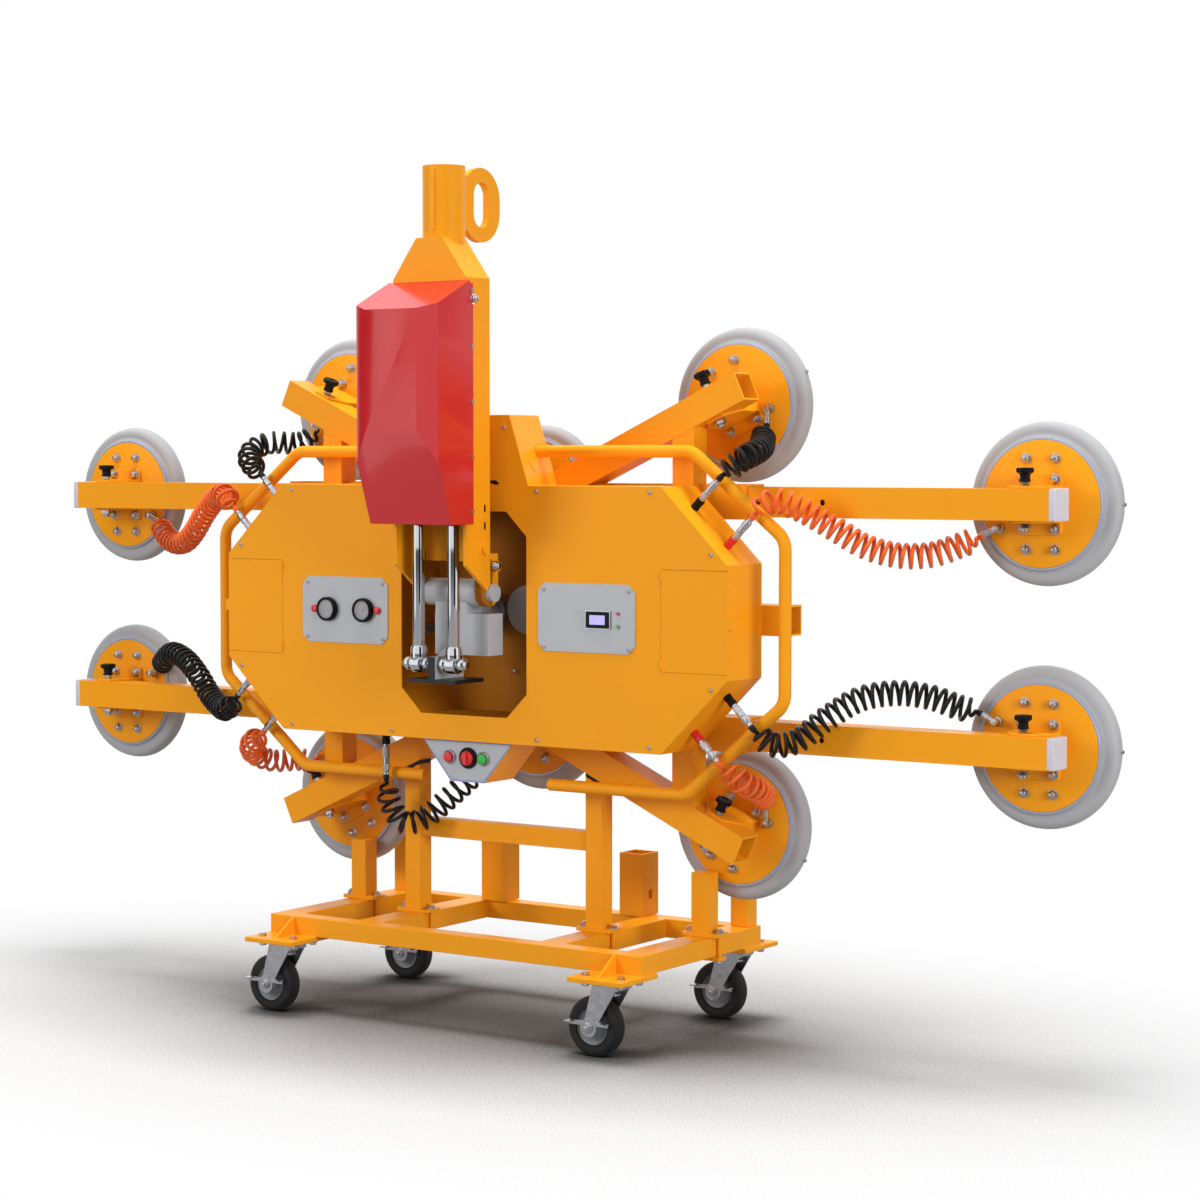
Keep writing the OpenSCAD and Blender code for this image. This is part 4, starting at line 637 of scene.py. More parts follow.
class LIFTER_OT_hoses(bpy.types.Operator):
    """Curly hoses from the couplers to the cups: four long ones to the arms and six short ones."""

    bl_idname = "lifter.hoses"
    bl_label = "Curly hoses"

    def execute(self, context):
        """Winds the arm hoses, one piece for each arm, and the short ones in two pieces by colour."""
        sizes = context.scene.lifter_sizes
        for key, (sx, sz) in ARMS.items():
            way = (sx * ELBOW_WAY[0], 0, sz * ELBOW_WAY[1])
            end = (sx * (ARM_CUP_X + ARM_ELBOW[0]) + ELBOW_REACH * way[0], ELBOW_END_Y,
                   sz * (ARM_Z + ARM_ELBOW[1]) + ELBOW_REACH * way[2])
            lot = self.wound(Lot(), *self.corner(COUPLER_STEPS[1], sx, sz), end, way, ARM_ROUTES[key], sizes.arm_turns)
            hose = lot.piece(f"arm_hose_{key}_curls", "orange_hose" if sz > 0 else "black_hose", None, smooth=60,
                             replaces=(f"arm_hose_{key}",))
            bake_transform(hose)
        lots = {1: Lot(), -1: Lot()}
        for key, (sx, sz) in ARMS.items():
            end = (sx * (DIAGONAL_CUP[0] + DIAGONAL_ELBOW[0]), ELBOW_END_Y,
                   sz * (DIAGONAL_CUP[1] + DIAGONAL_ELBOW[1] - ELBOW_REACH))
            self.wound(lots[sz], *self.corner(COUPLER_STEPS[0], sx, sz), end, (0, 0, -sz), SHORT_ROUTES[key],
                       sizes.short_turns)
        for sz, route in MIDDLE_ROUTES.items():
            start = (MIDDLE_X, COUPLER_Y, sz * (BOX_Z + MIDDLE_LENGTH))
            end = (MIDDLE_ELBOW[0], ELBOW_END_Y, sz * (ARM_Z + MIDDLE_ELBOW[1] + ELBOW_REACH))
            self.wound(lots[-sz], start, (0, 0, sz), end, (0, 0, sz), route, sizes.short_turns + 3)
        for side, shade in ((1, "black"), (-1, "orange")):
            lots[side].piece(f"{shade}_short_hoses", f"{shade}_hose", "frame", smooth=60, replaces=(f"hoses_{shade}",))
        return {"FINISHED"}

    def corner(self, step, sx, sz):
        """The end of a coupler on a cut corner, and the way out of it."""
        foot = corner_foot(step) + COUPLER_LENGTH * CORNER_OUT
        return (sx * foot[0], COUPLER_Y, sz * foot[1]), (sx * CORNER_OUT[0], 0, sz * CORNER_OUT[1])

    def wound(self, lot, start, leave, end, arrive, route, turns):
        """Adds one hose to a lot, with the moulded sleeve over each of its ends, a short cone."""
        path, side = curled(start, leave, end, arrive, route, turns)
        lot.add(tube(path, side, HOSE_R, 10), move(0, 0, AXIS_Z))
        sleeve = turned([(0, -2), (5.6, -2), (6.6, -1), (6.6, 5), (5.4, 12), (4.3, 13), (0, 13)], 24)
        for at, way in ((start, leave), (end, arrive)):
            lot.add(sleeve, move(0, 0, AXIS_Z), along(at, way))
        return lot


# The corners whose outer coupler (True) has a red cap; the inner coupler there has a black one, elsewhere the reverse
RED_OUTSIDE = {"ur": True, "lr": False, "ll": False, "ul": True}


class LIFTER_OT_couplers(bpy.types.Operator):
    """Quick couplers of the hoses: coloured cap at the box, knurled chromed sleeve and hose tail."""

    bl_idname = "lifter.couplers"
    bl_label = "Hose couplers"

    def execute(self, context):
        """Places two couplers on each cut corner and one above and below the box."""
        metal, caps = Lot(), {True: Lot(), False: Lot()}
        rows = [((sx, sz), corner_foot(step), CORNER_OUT, COUPLER_LENGTH, RED_OUTSIDE[key] == bool(i))
                for key, (sx, sz) in ARMS.items() for i, step in enumerate(COUPLER_STEPS)]
        rows += [((1, sz), (MIDDLE_X, BOX_Z), (0.0, 1.0), MIDDLE_LENGTH, False) for sz in (1, -1)]
        for signs, foot, way, length, red in rows:
            at = [move(0, 0, AXIS_Z), flip(*signs), along((foot[0], COUPLER_Y, foot[1]), (way[0], 0, way[1]))]
            caps[red].add(self.cap(), *at)
            metal.add(self.sleeve(length), *at)
        metal.piece("coupler_sleeves", "hard_chrome", "frame", smooth=30, replaces=("hose_couplers",))
        caps[False].piece("coupler_caps_black", "black_nylon", "frame", smooth=30)
        caps[True].piece("coupler_caps_red", "red_abs", "frame", smooth=30)
        return {"FINISHED"}

    def cap(self):
        """The coloured grip: a short barrel with eight shallow flutes, radius r (1 + 0.05 cos 8t)."""
        return waved([(0, 0.2), (8.2, 0.2), (8.6, 1.2), (8.6, 9), (7.2, 10), (7.2, 12), (8.6, 13), (8.6, 23), (7.8, 24),
                      (0, 24)], 8, 0.05, 48)

    def sleeve(self, length):
        """The chromed body: plain barrel, collar knurled with twenty square teeth, neck and hose tail."""
        end = length - 38
        knurl = [(0, 30), *[(7.4, h) for h in np.linspace(30, end, 5)], (0, end)]
        return [turned([(0, 24), (6.4, 24), (6.4, 28), (7.2, 29), (7.2, 30), (6.2, 30.5), (6.2, end), (7.2, end + 0.5),
                        (7.2, end + 10), (6.0, end + 12), (8.0, end + 13), (8.0, end + 26), (7.4, end + 28),
                        (5.4, end + 30), (5.4, length), (0, length)], 40),
                waved(knurl, 20, 0.035, rule=lambda a: np.sign(np.cos(a)))]


# Painted steel

# The depth of an arm's middle, and the cap in its open end: half its side, where it starts and where it ends
ARM_Y = 184.0
CAP_HALF, CAP_FROM, CAP_TO = 30.7, 1239.0, 1252.6


class LIFTER_OT_painted_steel(bpy.types.Operator):
    """Powder coated sheet metal and tubes: box, doors, frame, arms, cart and control housing."""

    bl_idname = "lifter.painted_steel"
    bl_label = "Painted steel"

    def execute(self, context):
        """Softens each painted node by its share of the edge rounding, and caps the arms' ends."""
        edge = context.scene.lifter_sizes.edge_round
        # Behind the window the box's inner faces get painted shade: a darker, flat coat of the paint's hue
        softened("enclosure_body", "powder_coat", edge * 0.7, "inner_primer", (-1, 2, 600), (176, 128, 1118))
        arms = [f"arm_{key}" for key in ARMS]
        for share, nodes in ((1.0, ("cart_chassis", "cart_posts", "lifting_frame")),
                             (0.5, ("front_panel", "door_left", "door_right", "control_housing")), (1.0, arms)):
            for node in nodes:
                softened(node, "powder_coat", edge * share)
        softened("rest_pads", "black_rubber", 0.6)
        for key, (sx, sz) in ARMS.items():
            cap = Lot().add(prism(rounded(CAP_HALF, CAP_HALF, 4), CAP_FROM, CAP_TO), move(0, 0, AXIS_Z),
                            flip(sx, sz), move(0, ARM_Y, ARM_Z), TO_X)
            cap.piece(f"arm_end_cap_{key}", "cap_plastic", f"slide_{key}", round_mm=2.0, smooth=50)
        return {"FINISHED"}


# The raised top of the box narrows from 330 mm to 236 mm over its 143 mm of height
TOP_SLOPE = (330 - 236) / 2 / 143
# Corners of a bumper tube's middle line as (x, z), from inside the raised top round to the middle below, with the depth
# of the line, the tube's radius and the radius of its bends
BUMPER = [(330 / 2 - (332 - BOX_Z) * TOP_SLOPE - 11, 332.0), (505.0, 332.0), (718.0, 161.0), (718.0, -159.0),
          (490.0, -350.0), (160.0, -350.0)]
BUMPER_Y, BUMPER_R, BUMPER_BEND = 82.0, 12.5, 45.0


def bent(corners, radius, steps=12):
    """A bent tube's middle line: straight runs, and at each corner an arc of the radius that touches both runs."""
    p = np.array(corners, float)
    made = [p[:1]]
    for before, corner, after in zip(p[:-2], p[1:-1], p[2:]):
        u, v = unit(corner - before), unit(after - corner)
        half = math.acos(float(np.clip(u @ v, -1, 1))) / 2
        side = np.sign(u[0] * v[1] - u[1] * v[0])
        centre = corner - radius * math.tan(half) * u + side * radius * np.array([-u[1], u[0]])
        start = math.atan2(u[1], u[0]) - side * math.pi / 2
        a = start + side * np.linspace(0, 2 * half, steps)
        made.append(centre + radius * np.stack([np.cos(a), np.sin(a)], -1))
    made.append(p[-1:])
    return np.concatenate(made)


class LIFTER_OT_bumper(bpy.types.Operator):
    """Bumper tubes round the box, bent cold from one length each side, with closed ends."""

    bl_idname = "lifter.bumper"
    bl_label = "Bumper tubes"

    def execute(self, context):
        """Bends one tube and its mirror image."""
        path = bent(BUMPER, BUMPER_BEND)
        line = np.stack([path[:, 0], 0 * path[:, 0] + BUMPER_Y, path[:, 1]], -1)
        lot = Lot()
        for sx in (1, -1):
            lot.add(tube(line, np.array([0.0, 1.0, 0.0]), BUMPER_R, 32), move(0, 0, AXIS_Z), flip(sx, 1))
        lot.piece("bumper", "powder_coat", "frame", round_mm=1.5, smooth=50, replaces=("bumper_tubes",))
        return {"FINISHED"}


# Instruments and controls

# Front of the instrument plates, their cut corners, and each plate's edges as left, right, bottom and top
PLATE_FRONT, PLATE_CUT = -2.0, 16.0
PLATES = ((-426, -195, -72, 68), (190, 425, -69, 69))
# Each gauge's place and the turn of its needle; the places of the vent plugs
GAUGES = ((-355, 40), (-258, -35))
VENTS = (-391, -222)
# The middle of the display, and the places of the two lamps beside it
DISPLAY = (337.5, -2.5)
RED_LAMP, GREEN_LAMP = (385, 11), (385, -15)


class LIFTER_OT_instruments(bpy.types.Operator):
    """The two anodised plates with vacuum gauges, the display and its signal lamps."""

    bl_idname = "lifter.instruments"
    bl_label = "Instruments"

    def execute(self, context):
        """Cuts both plates with their corner screws, then adds what they carry."""
        plates, screws, c = Lot(), Lot(), PLATE_CUT
        for x0, x1, z0, z1 in PLATES:
            outline = [(x0 + c, -z0), (x0, -z0 - c), (x0, -z1 + c), (x0 + c, -z1), (x1 - c, -z1), (x1, -z1 + c),
                       (x1, -z0 - c), (x1 - c, -z0)]
            plates.add(prism(outline, PLATE_FRONT, 0), move(0, 0, AXIS_Z), TO_Y)
            for x in (x0 + 15, x1 - 14):
                for z in (-61, 55):
                    screws.add(socket_screw(4.0), *self.spot(x, z))
        plates.piece("front_plates", "anodised_plate", "frame", round_mm=0.4, replaces=("instrument_plates",))
        screws.piece("plate_screws", "zinc_plate", "frame", smooth=30)
        self.gauges()
        self.display()
        return {"FINISHED"}

    def spot(self, x, z):
        """The places that stand a surface on the plates."""
        return [move(x, PLATE_FRONT, AXIS_Z + z), OUT]

    def gauges(self):
        """Each gauge: a black bezel ring, a grey dial with tick marks, a needle and a clear window."""
        bezel, dial, ticks, needle, glass, plugs = (Lot() for _ in range(6))
        for x, turn in GAUGES:
            at = self.spot(x, -1)
            bezel.add(turned([(0, 0), (25.5, 0), (25.5, 8.6), (24.6, 11), (22.8, 12), (20.6, 11.4), (19.8, 9.4),
                              (19.8, 4), (0, 4)], 64), *at)
            dial.add(rod(19.7, 3.6, 5.4, 0.2, 48), *at)
            for k in range(13):
                half, deep = (0.75, 4.4) if k % 3 == 0 else (0.45, 2.6)
                ticks.add(block(-half, half, 17.6 - deep, 17.6, 5.4, 5.7), *at, spin("z", -135 + 270 * k / 12))
            needle.add(prism([(-1.3, -4.5), (1.3, -4.5), (0.45, 14.5), (-0.45, 14.5)], 6.2, 6.8), *at, spin("z", turn))
            needle.add(rod(2.6, 5.2, 7.6, 0.5, 24), *at)
            glass.add(turned([(0, 8.6), (19.6, 8.6), (19.6, 9.6), (12, 10.2), (0, 10.4)], 48), *at)
        for x in VENTS:
            plugs.add(rod(8.0, 0, 5.6, 1.4, 28), *self.spot(x, -1))
        bezel.piece("gauge_bezels", "black_nylon", "frame", smooth=40, replaces=("vacuum_gauges",))
        dial.piece("gauge_dials", "dial_enamel", "frame")
        ticks.piece("gauge_ticks", "dial_print", "frame")
        needle.piece("gauge_needles", "needle_red", "frame")
        glass.piece("gauge_windows", "dial_glass", "frame")
        plugs.piece("vent_plugs", "red_abs", "frame")

    def display(self):
        """A framed screen and two round lamps."""
        housing, screen, rims, green, red = (Lot() for _ in range(5))
        at = self.spot(*DISPLAY)
        rims.add(prism(rounded(30.2, 18.8, 2.5), 0, 3.0), *at)
        housing.add(prism(rounded(27.8, 16.5, 2.0), 0, 4.4), *at)
        screen.add(prism(rounded(18.4, 9.4, 0.8), 3.4, 4.8), *at)
        for place, lot in ((RED_LAMP, red), (GREEN_LAMP, green)):
            at = self.spot(*place)
            rims.add(turned([(0, 0), (4.5, 0), (4.5, 2.0), (3.8, 2.6), (3.0, 2.2), (0, 2.2)], 28), *at)
            lot.add(turned([(0, 1.8), (2.9, 1.8), (2.7, 3.0), (1.6, 3.8), (0, 4.0)], 24), *at)
        housing.piece("display_housing", "black_nylon", "frame", round_mm=0.8, replaces=("display_unit",))
        screen.piece("display_screen", "lit_screen", "frame", round_mm=0.2)
        rims.piece("lamp_rims", "zinc_plate", "frame")
        red.piece("lamp_red", "red_abs", "frame")
        green.piece("lamp_green", "green_abs", "frame")


# The control panel's outline as (x, z) and its front; the height of its buttons, their places, and their cap's radius
HOUSING = np.array([(-115.0, -263.0), (-43.0, -349.0), (43.0, -349.0), (115.0, -263.0)])
PANEL_FRONT = 14.0
BUTTON_Z = AXIS_Z - 299
BUTTON_X = {"red": -45, "green": 42}
SWITCH_X = 3
BUTTON_R = 11.0


class LIFTER_OT_controls(bpy.types.Operator):
    """The sloped control panel below the box with its two push buttons and the rotary switch."""

    bl_idname = "lifter.controls"
    bl_label = "Control panel"

    def execute(self, context):
        """Edges the panel, and adds two buttons that have room for their stroke, and the fluted switch."""
        softened("control_panel", "anodised_plate", 0.5)
        rim, rings, base, knob = (Lot() for _ in range(4))
        inner = HOUSING * (0.955, 1.0) + np.array([(0, -4.5), (0, 4.0), (0, 4.0), (0, -4.5)])
        for a, b in ((0, 1), (1, 2), (2, 3), (3, 0)):
            edge = [(x, -z) for x, z in (HOUSING[a], HOUSING[b], inner[b], inner[a])]
            rim.add(prism(edge, PANEL_FRONT - 0.5, PANEL_FRONT + 0.2), move(0, 0, AXIS_Z), TO_Y)
        caps, r = {colour: Lot() for colour in BUTTON_X}, BUTTON_R
        for colour, x in BUTTON_X.items():
            at = [move(x, PANEL_FRONT, BUTTON_Z), OUT]
            rings.add(turned([(11.6, 0.1), (15.0, 0.1), (15.0, 2.0), (13.8, 3.6), (12.6, 4.1), (11.6, 3.6),
                              (11.6, 0.1)], 40), *at)
            caps[colour].add(turned([(0, -15), (5.8, -15), (5.8, 4.4), (r - 0.6, 4.4), (r, 5.0), (r - 0.2, 8.0),
                                     (r - 1.2, 9.6), (r * 0.5, 10.2), (0, 10.3)], 36), *at)
        at = [move(SWITCH_X, PANEL_FRONT, BUTTON_Z), OUT]
        base.add(turned([(0, 0.3), (22, 0.3), (22, 3.4), (20.6, 5), (0, 5)], 48), *at)
        knob.add(waved([(0, 4.6), (14.6, 4.6), (15.4, 6), (15.2, 8), (13.8, 9.6), (12.6, 10), (0, 10)], 12, 0.02), *at)
        knob.add(prism(rounded(4.4, 13.0, 2.5), 9.0, 15.0), *at)
        rim.piece("control_panel_rim", "panel_edge", "frame")
        rings.piece("button_rings", "zinc_plate", "frame")
        base.piece("switch_base", "black_nylon", "frame")
        for colour, cap in caps.items():
            cap.piece(f"{colour}_button_cap", f"{colour}_abs", f"{colour}_push", replaces=(f"{colour}_button",))
        knob.piece("switch_knob", "red_abs", "selector", round_mm=0.8, replaces=("rotary_switch",))
        return {"FINISHED"}


# Mast, cylinders and head

# The middle of a cylinder rod, and the height of its lower pin
ROD_X, ROD_Y, PIN_Z = 44.4, -90.0, 760.0


class LIFTER_OT_mast(bpy.types.Operator):
    """The tilting mast with its red cover, the two tilt cylinders, their rods and the turning head."""

    bl_idname = "lifter.mast"
    bl_label = "Mast and head"

    def execute(self, context):
        """Softens the large parts, three of which have a second finish, and adds rods and pins."""
        edge = context.scene.lifter_sizes.edge_round
        # Between its side plates the mast gets painted shade, a darker flat coat; the cover's side screws are plated,
        # the head's lug is black
        softened("mast_column", "powder_coat", edge * 0.8, "inner_primer", (60, -200, 700), (84, -1, 1400))
        softened("cylinder_cover", "red_enamel", edge * 0.9, "zinc_plate", (103.05, -200, 1000), (120, 0, 1600))
        softened("tilt_head", "grey_casting", 1.6, "black_oxide", (-1, -200, 700), (70, 0, 752))
        softened("tilt_cylinders", "barrel_enamel", 0.8)
        self.rods()
        self.pins()
        return {"FINISHED"}

    def rods(self):
        """Hard chromed rods with clevis eyes, pins with domed ends, and spacers between them."""
        lot = Lot()
        for sx in (1, -1):
            side, pin = flip(sx, 1), move(0, ROD_Y, PIN_Z)
            lot.add([rod(12.5, 778, 1210, 0.8, 48),
                     turned([(0, 764), (15.5, 764), (17.0, 768), (17.0, 792), (14.5, 797), (0, 797)], 40)],
                    side, move(ROD_X, ROD_Y, 0))
            lot.add(turned([(0, -12), (17.0, -12), (18, -11), (18, 11), (17, 12), (0, 12)], 40), side,
                    move(ROD_X, 0, 0), pin, TO_X)
            lot.add(turned([(0, 9.9), (8, 9.9), (8, 80), (0, 80)], 32), side, pin, TO_X)
            for x0, x1 in ((17, 27), (63, 74)):
                lot.add(turned([(0, x0), (12.2, x0), (14, x0 + 1.6), (14, x1 - 2.4), (12, x1), (0, x1)], 32), side,
                        pin, TO_X)
            lot.add(turned([(0, 73), (9.6, 73), (10.4, 74.5), (9.8, 77.5), (7.4, 79.4), (0, 80)], 32), side, pin, TO_X)
        lot.piece("chrome_rods", "hard_chrome", "rods", smooth=35, replaces=("cylinder_rods",))

    def pins(self):
        """Domed nuts on the mast's side plates and cover, and a black sleeve on the head's stop pin."""
        mast = Lot()
        for sx in (1, -1):
            mast.add(dome_nut(), flip(sx, 1), move(92, -14, AXIS_Z + 100), TO_X)
            mast.add(dome_nut(), flip(sx, 1), move(103, -100, 1494), spin("z", -25), TO_X)
        mast.piece("mast_pin_caps", "hard_chrome", "mast", smooth=32)
        sleeve = Lot().add(rod(8.8, -73, -41, 1.2, 28), move(0, -20, AXIS_Z - 29), TO_X)
        sleeve.piece("head_pin_sleeve", "black_nylon", "head")


# Inside the window


class LIFTER_OT_interior(bpy.types.Operator):
    """The turning bearing, the vacuum pump and the equipment on the floor of the box."""

    bl_idname = "lifter.interior"
    bl_label = "Inner equipment"

    def execute(self, context):
        """Softens the two nodes that the window partly shows."""
        softened("rotary_bearing", "zinc_plate", 1.0)
        softened("vacuum_unit", "anodised_plate", 1.5)
        return {"FINISHED"}


# Casters

# A wheel's radius, how far its axle trails the swivel, and half the width over the fork
WHEEL_R, TRAIL, FORK_HALF = 60.0, 37.0, 27.0
# Half profiles of the tyre and of the wheel's centre, as (radius, height) pairs
TYRE = [(36.5, -16.0), (40, -17.4), (50, -18), (55, -16.4), (58.6, -12), (60, -6)]
HUB = [(6.05, -22.5), (13.2, -22.5), (14, -21.5), (14, -15), (17, -13.2), (30, -12.6), (34, -14), (37, -15.8)]


def mirrored(half):
    """A closed profile: its half, the mirror image of that half in reverse order, and the first point again."""
    return half + [(r, -h) for r, h in half[::-1]] + half[:1]


class LIFTER_OT_casters(bpy.types.Operator):
    """Four swivel casters: zinc plated forks, rubber tyres on grey wheels and foot brakes."""

    bl_idname = "lifter.casters"
    bl_label = "Casters"

    def execute(self, context):
        """One caster after another: softened fork and pedal, turned tyre and wheel, axle nuts."""
        tyre = turned(smoothed(mirrored(TYRE), 60)[:-1].tolist() + TYRE[:1], 64)
        for key, (sx, y) in CASTERS.items():
            x = sx * CASTER_X - TRAIL
            at = [move(x, y, WHEEL_R), OUT]
            softened(f"caster_fork_{key}", "zinc_plate", 0.8)
            softened(f"brake_pedal_{key}", "zinc_plate", 0.6)
            Lot().add(tyre, *at).piece(f"caster_tyre_{key}", "black_rubber", f"wheel_{key}", smooth=50,
                                       replaces=(f"caster_wheel_{key}",), slot="tyre_black")
            Lot().add(turned(mirrored(HUB), 48), *at).piece(f"caster_hub_{key}", "hub_grey", f"wheel_{key}", smooth=35)
            nuts = Lot().add(bolt(17, 5.4, 3.0, 1.2), move(x, y - FORK_HALF - 3.8, WHEEL_R), OUT)
            nuts.add(bolt(17, 5.0, 0, 1.2), move(x, y + FORK_HALF, WHEEL_R), TO_Y)
            nuts.piece(f"caster_nuts_{key}", "zinc_plate", f"fork_{key}", smooth=30)
        return {"FINISHED"}


# Screws, bolts and nuts

# The screws of the box front, as (x, z) in each quarter, and those of the raised top
FRONT_SCREWS = ((458, 251), (600, 131), (186, 251))
TOP_SCREWS = ((106, 380), (-106, 380))
# The feet of the posts on one side, as (x, y)
FEET = ((235, 151), (445, 226))


class LIFTER_OT_fasteners(bpy.types.Operator):
    """Screws on the box front and doors, and the hexagon bolts that hold the posts and casters."""

    bl_idname = "lifter.fasteners"
    bl_label = "Screws and bolts"

    def execute(self, context):
        """Sets the screws and plug of the box, flat black pads as painted shade in the slots of the box and mast, then
        the cart's hardware.
        """
        screws = Lot()
        spots = [(sx * x, sz * z) for sx in (1, -1) for sz in (1, -1) for x, z in FRONT_SCREWS]
        for x, z in (*spots, *TOP_SCREWS):
            screws.add(socket_screw(), move(x, 0, AXIS_Z + z), OUT)
        screws.add(socket_screw(), move(43, 119, 735), OUT)
        plug = Lot().add(turned([(0, -1), (14, -1), (14, 1.2), (13.2, 2.0), (0, 2.0)], 48),
                         along((143.9, 46.7, 1165.4), (0.939, 0.137, 0.315)))
        plug.piece("hump_plug", "powder_coat", "frame", smooth=30)
        # Painted shade: flat black pads stand for the shade inside the slots of the box's hump and of the mast's sides
        slot = Lot().add(prism(rounded(11, 3.2, 3.0), -1, 0.4), move(77, 0, 1129), OUT)
        slot.piece("hump_slot", "black_nylon", "frame", smooth=30)
        vents = Lot()
        for z in (1076, 1041):
            vents.add(prism(rounded(8, 2.6, 2.5), -1, 0.4), move(92, -48, z), TO_X)
        vents.piece("mast_slots", "black_nylon", "mast", smooth=30)
        screws.piece("panel_screws", "zinc_plate", "frame", smooth=30, replaces=("enclosure_screws",))
        self.cart()
        return {"FINISHED"}

    def cart(self):
        """Clamps with their studs at the feet of the posts, and the bolted top plates of the casters."""
        bolts, plates, clamps, down = Lot(), Lot(), Lot(), spin("x", 180)
        for side in (flip(1, 1), flip(-1, 1)):
            for x, y in FEET:
                clamps.add(block(x - 42, x + 42, y - 15, y + 15, 156, 164), side)
                for bx in (x - 35.5, x + 35.5):
                    clamps.add(rod(5, 156, 222, 0.8, 20), side, move(bx, y, 0))
                    bolts.add(bolt(14.5, 6.0, 3.0, 1.2), side, move(bx, y, 212))
                    bolts.add(bolt(14.5, 6.0, 0, 1.2), side, move(bx, y, 156), down)
            for y, way in ((CASTER_FRONT, -1), (CASTER_REAR, 1)):
                plates.add(prism(rounded(52, 42, 5), 150, 154), side, move(CASTER_X, y, 0))
                bolts.add([rod(16, 124, 128, 0.6, 28), rod(10, 128, 151, 0.4, 28)], side, move(CASTER_X, y, 0))
                for dx, dy in ((-42, -32), (-42, 32), (42, -32), (42, 32)):
                    bolts.add(bolt(13, 5.4, 0, 1.2), side, move(CASTER_X + dx, y + dy, 150), down)
                    if dy * way > 0:
                        bolts.add(bolt(13, 4.8, 0, 1.0), side, move(CASTER_X + dx, y + dy, 164))
        bolts.piece("cart_bolts", "zinc_plate", "cart", smooth=30, replaces=("cart_fittings",))
        clamps.piece("post_clamps", "powder_coat", "cart", round_mm=0.8, smooth=30)
        plates.piece("cart_plates", "zinc_plate", "cart", round_mm=0.8, smooth=30)


# Stage, in metres

# Each lamp's name, place, size and power in watts, and the point that all of them face
LAMPS = (("top_lamp", (0.0, 0.0, 7.4), 3.0, 520), ("front_lamp", (-3.0, -4.4, 2.5), 2.0, 130),
         ("right_lamp", (4.7, -1.5, 1.5), 2.0, 120), ("back_lamp", (-1.5, 4.4, 1.8), 2.6, 60))
LAMP_AIM = (0.0, 0.0, 0.85)
# Each card's name, the middle and half of its span in degrees round the lifter, and its glow
CARDS = (("card_front_left", -125, 16, 1.2), ("flag_left", -160, 15, 0.02), ("flag_front", -36, 14, 0.02),
         ("card_right", -3, 11, 1.3), ("flag_right", 31, 18, 0.02))
CARD_DISTANCE, CARD_LOW, CARD_HIGH = 3.4, 0.02, 3.2
# The floor's radius and corners, and the half axes of the oval round which its paint fades to white
FLOOR_RADIUS, FLOOR_SIDES = 30, 96
FADE_X, FADE_Y = 2.1, 1.25
# The camera fitted to the photograph: lens and sensor in millimetres, its place, and its turns about X and Z in degrees
LENS, SENSOR = 85.97, 36.0
CAMERA_PLACE = (3.537, -4.8075, 1.1825)
CAMERA_TURNS = (87.115, 34.243)


def sheet(name, corners, material):
    """A flat face with its material, which belongs to the stage."""
    mesh = bpy.data.meshes.new(name)
    mesh.from_pydata(corners, [], [list(range(len(corners)))])
    mesh.materials.append(material)
    made = put(name, mesh)
    return made


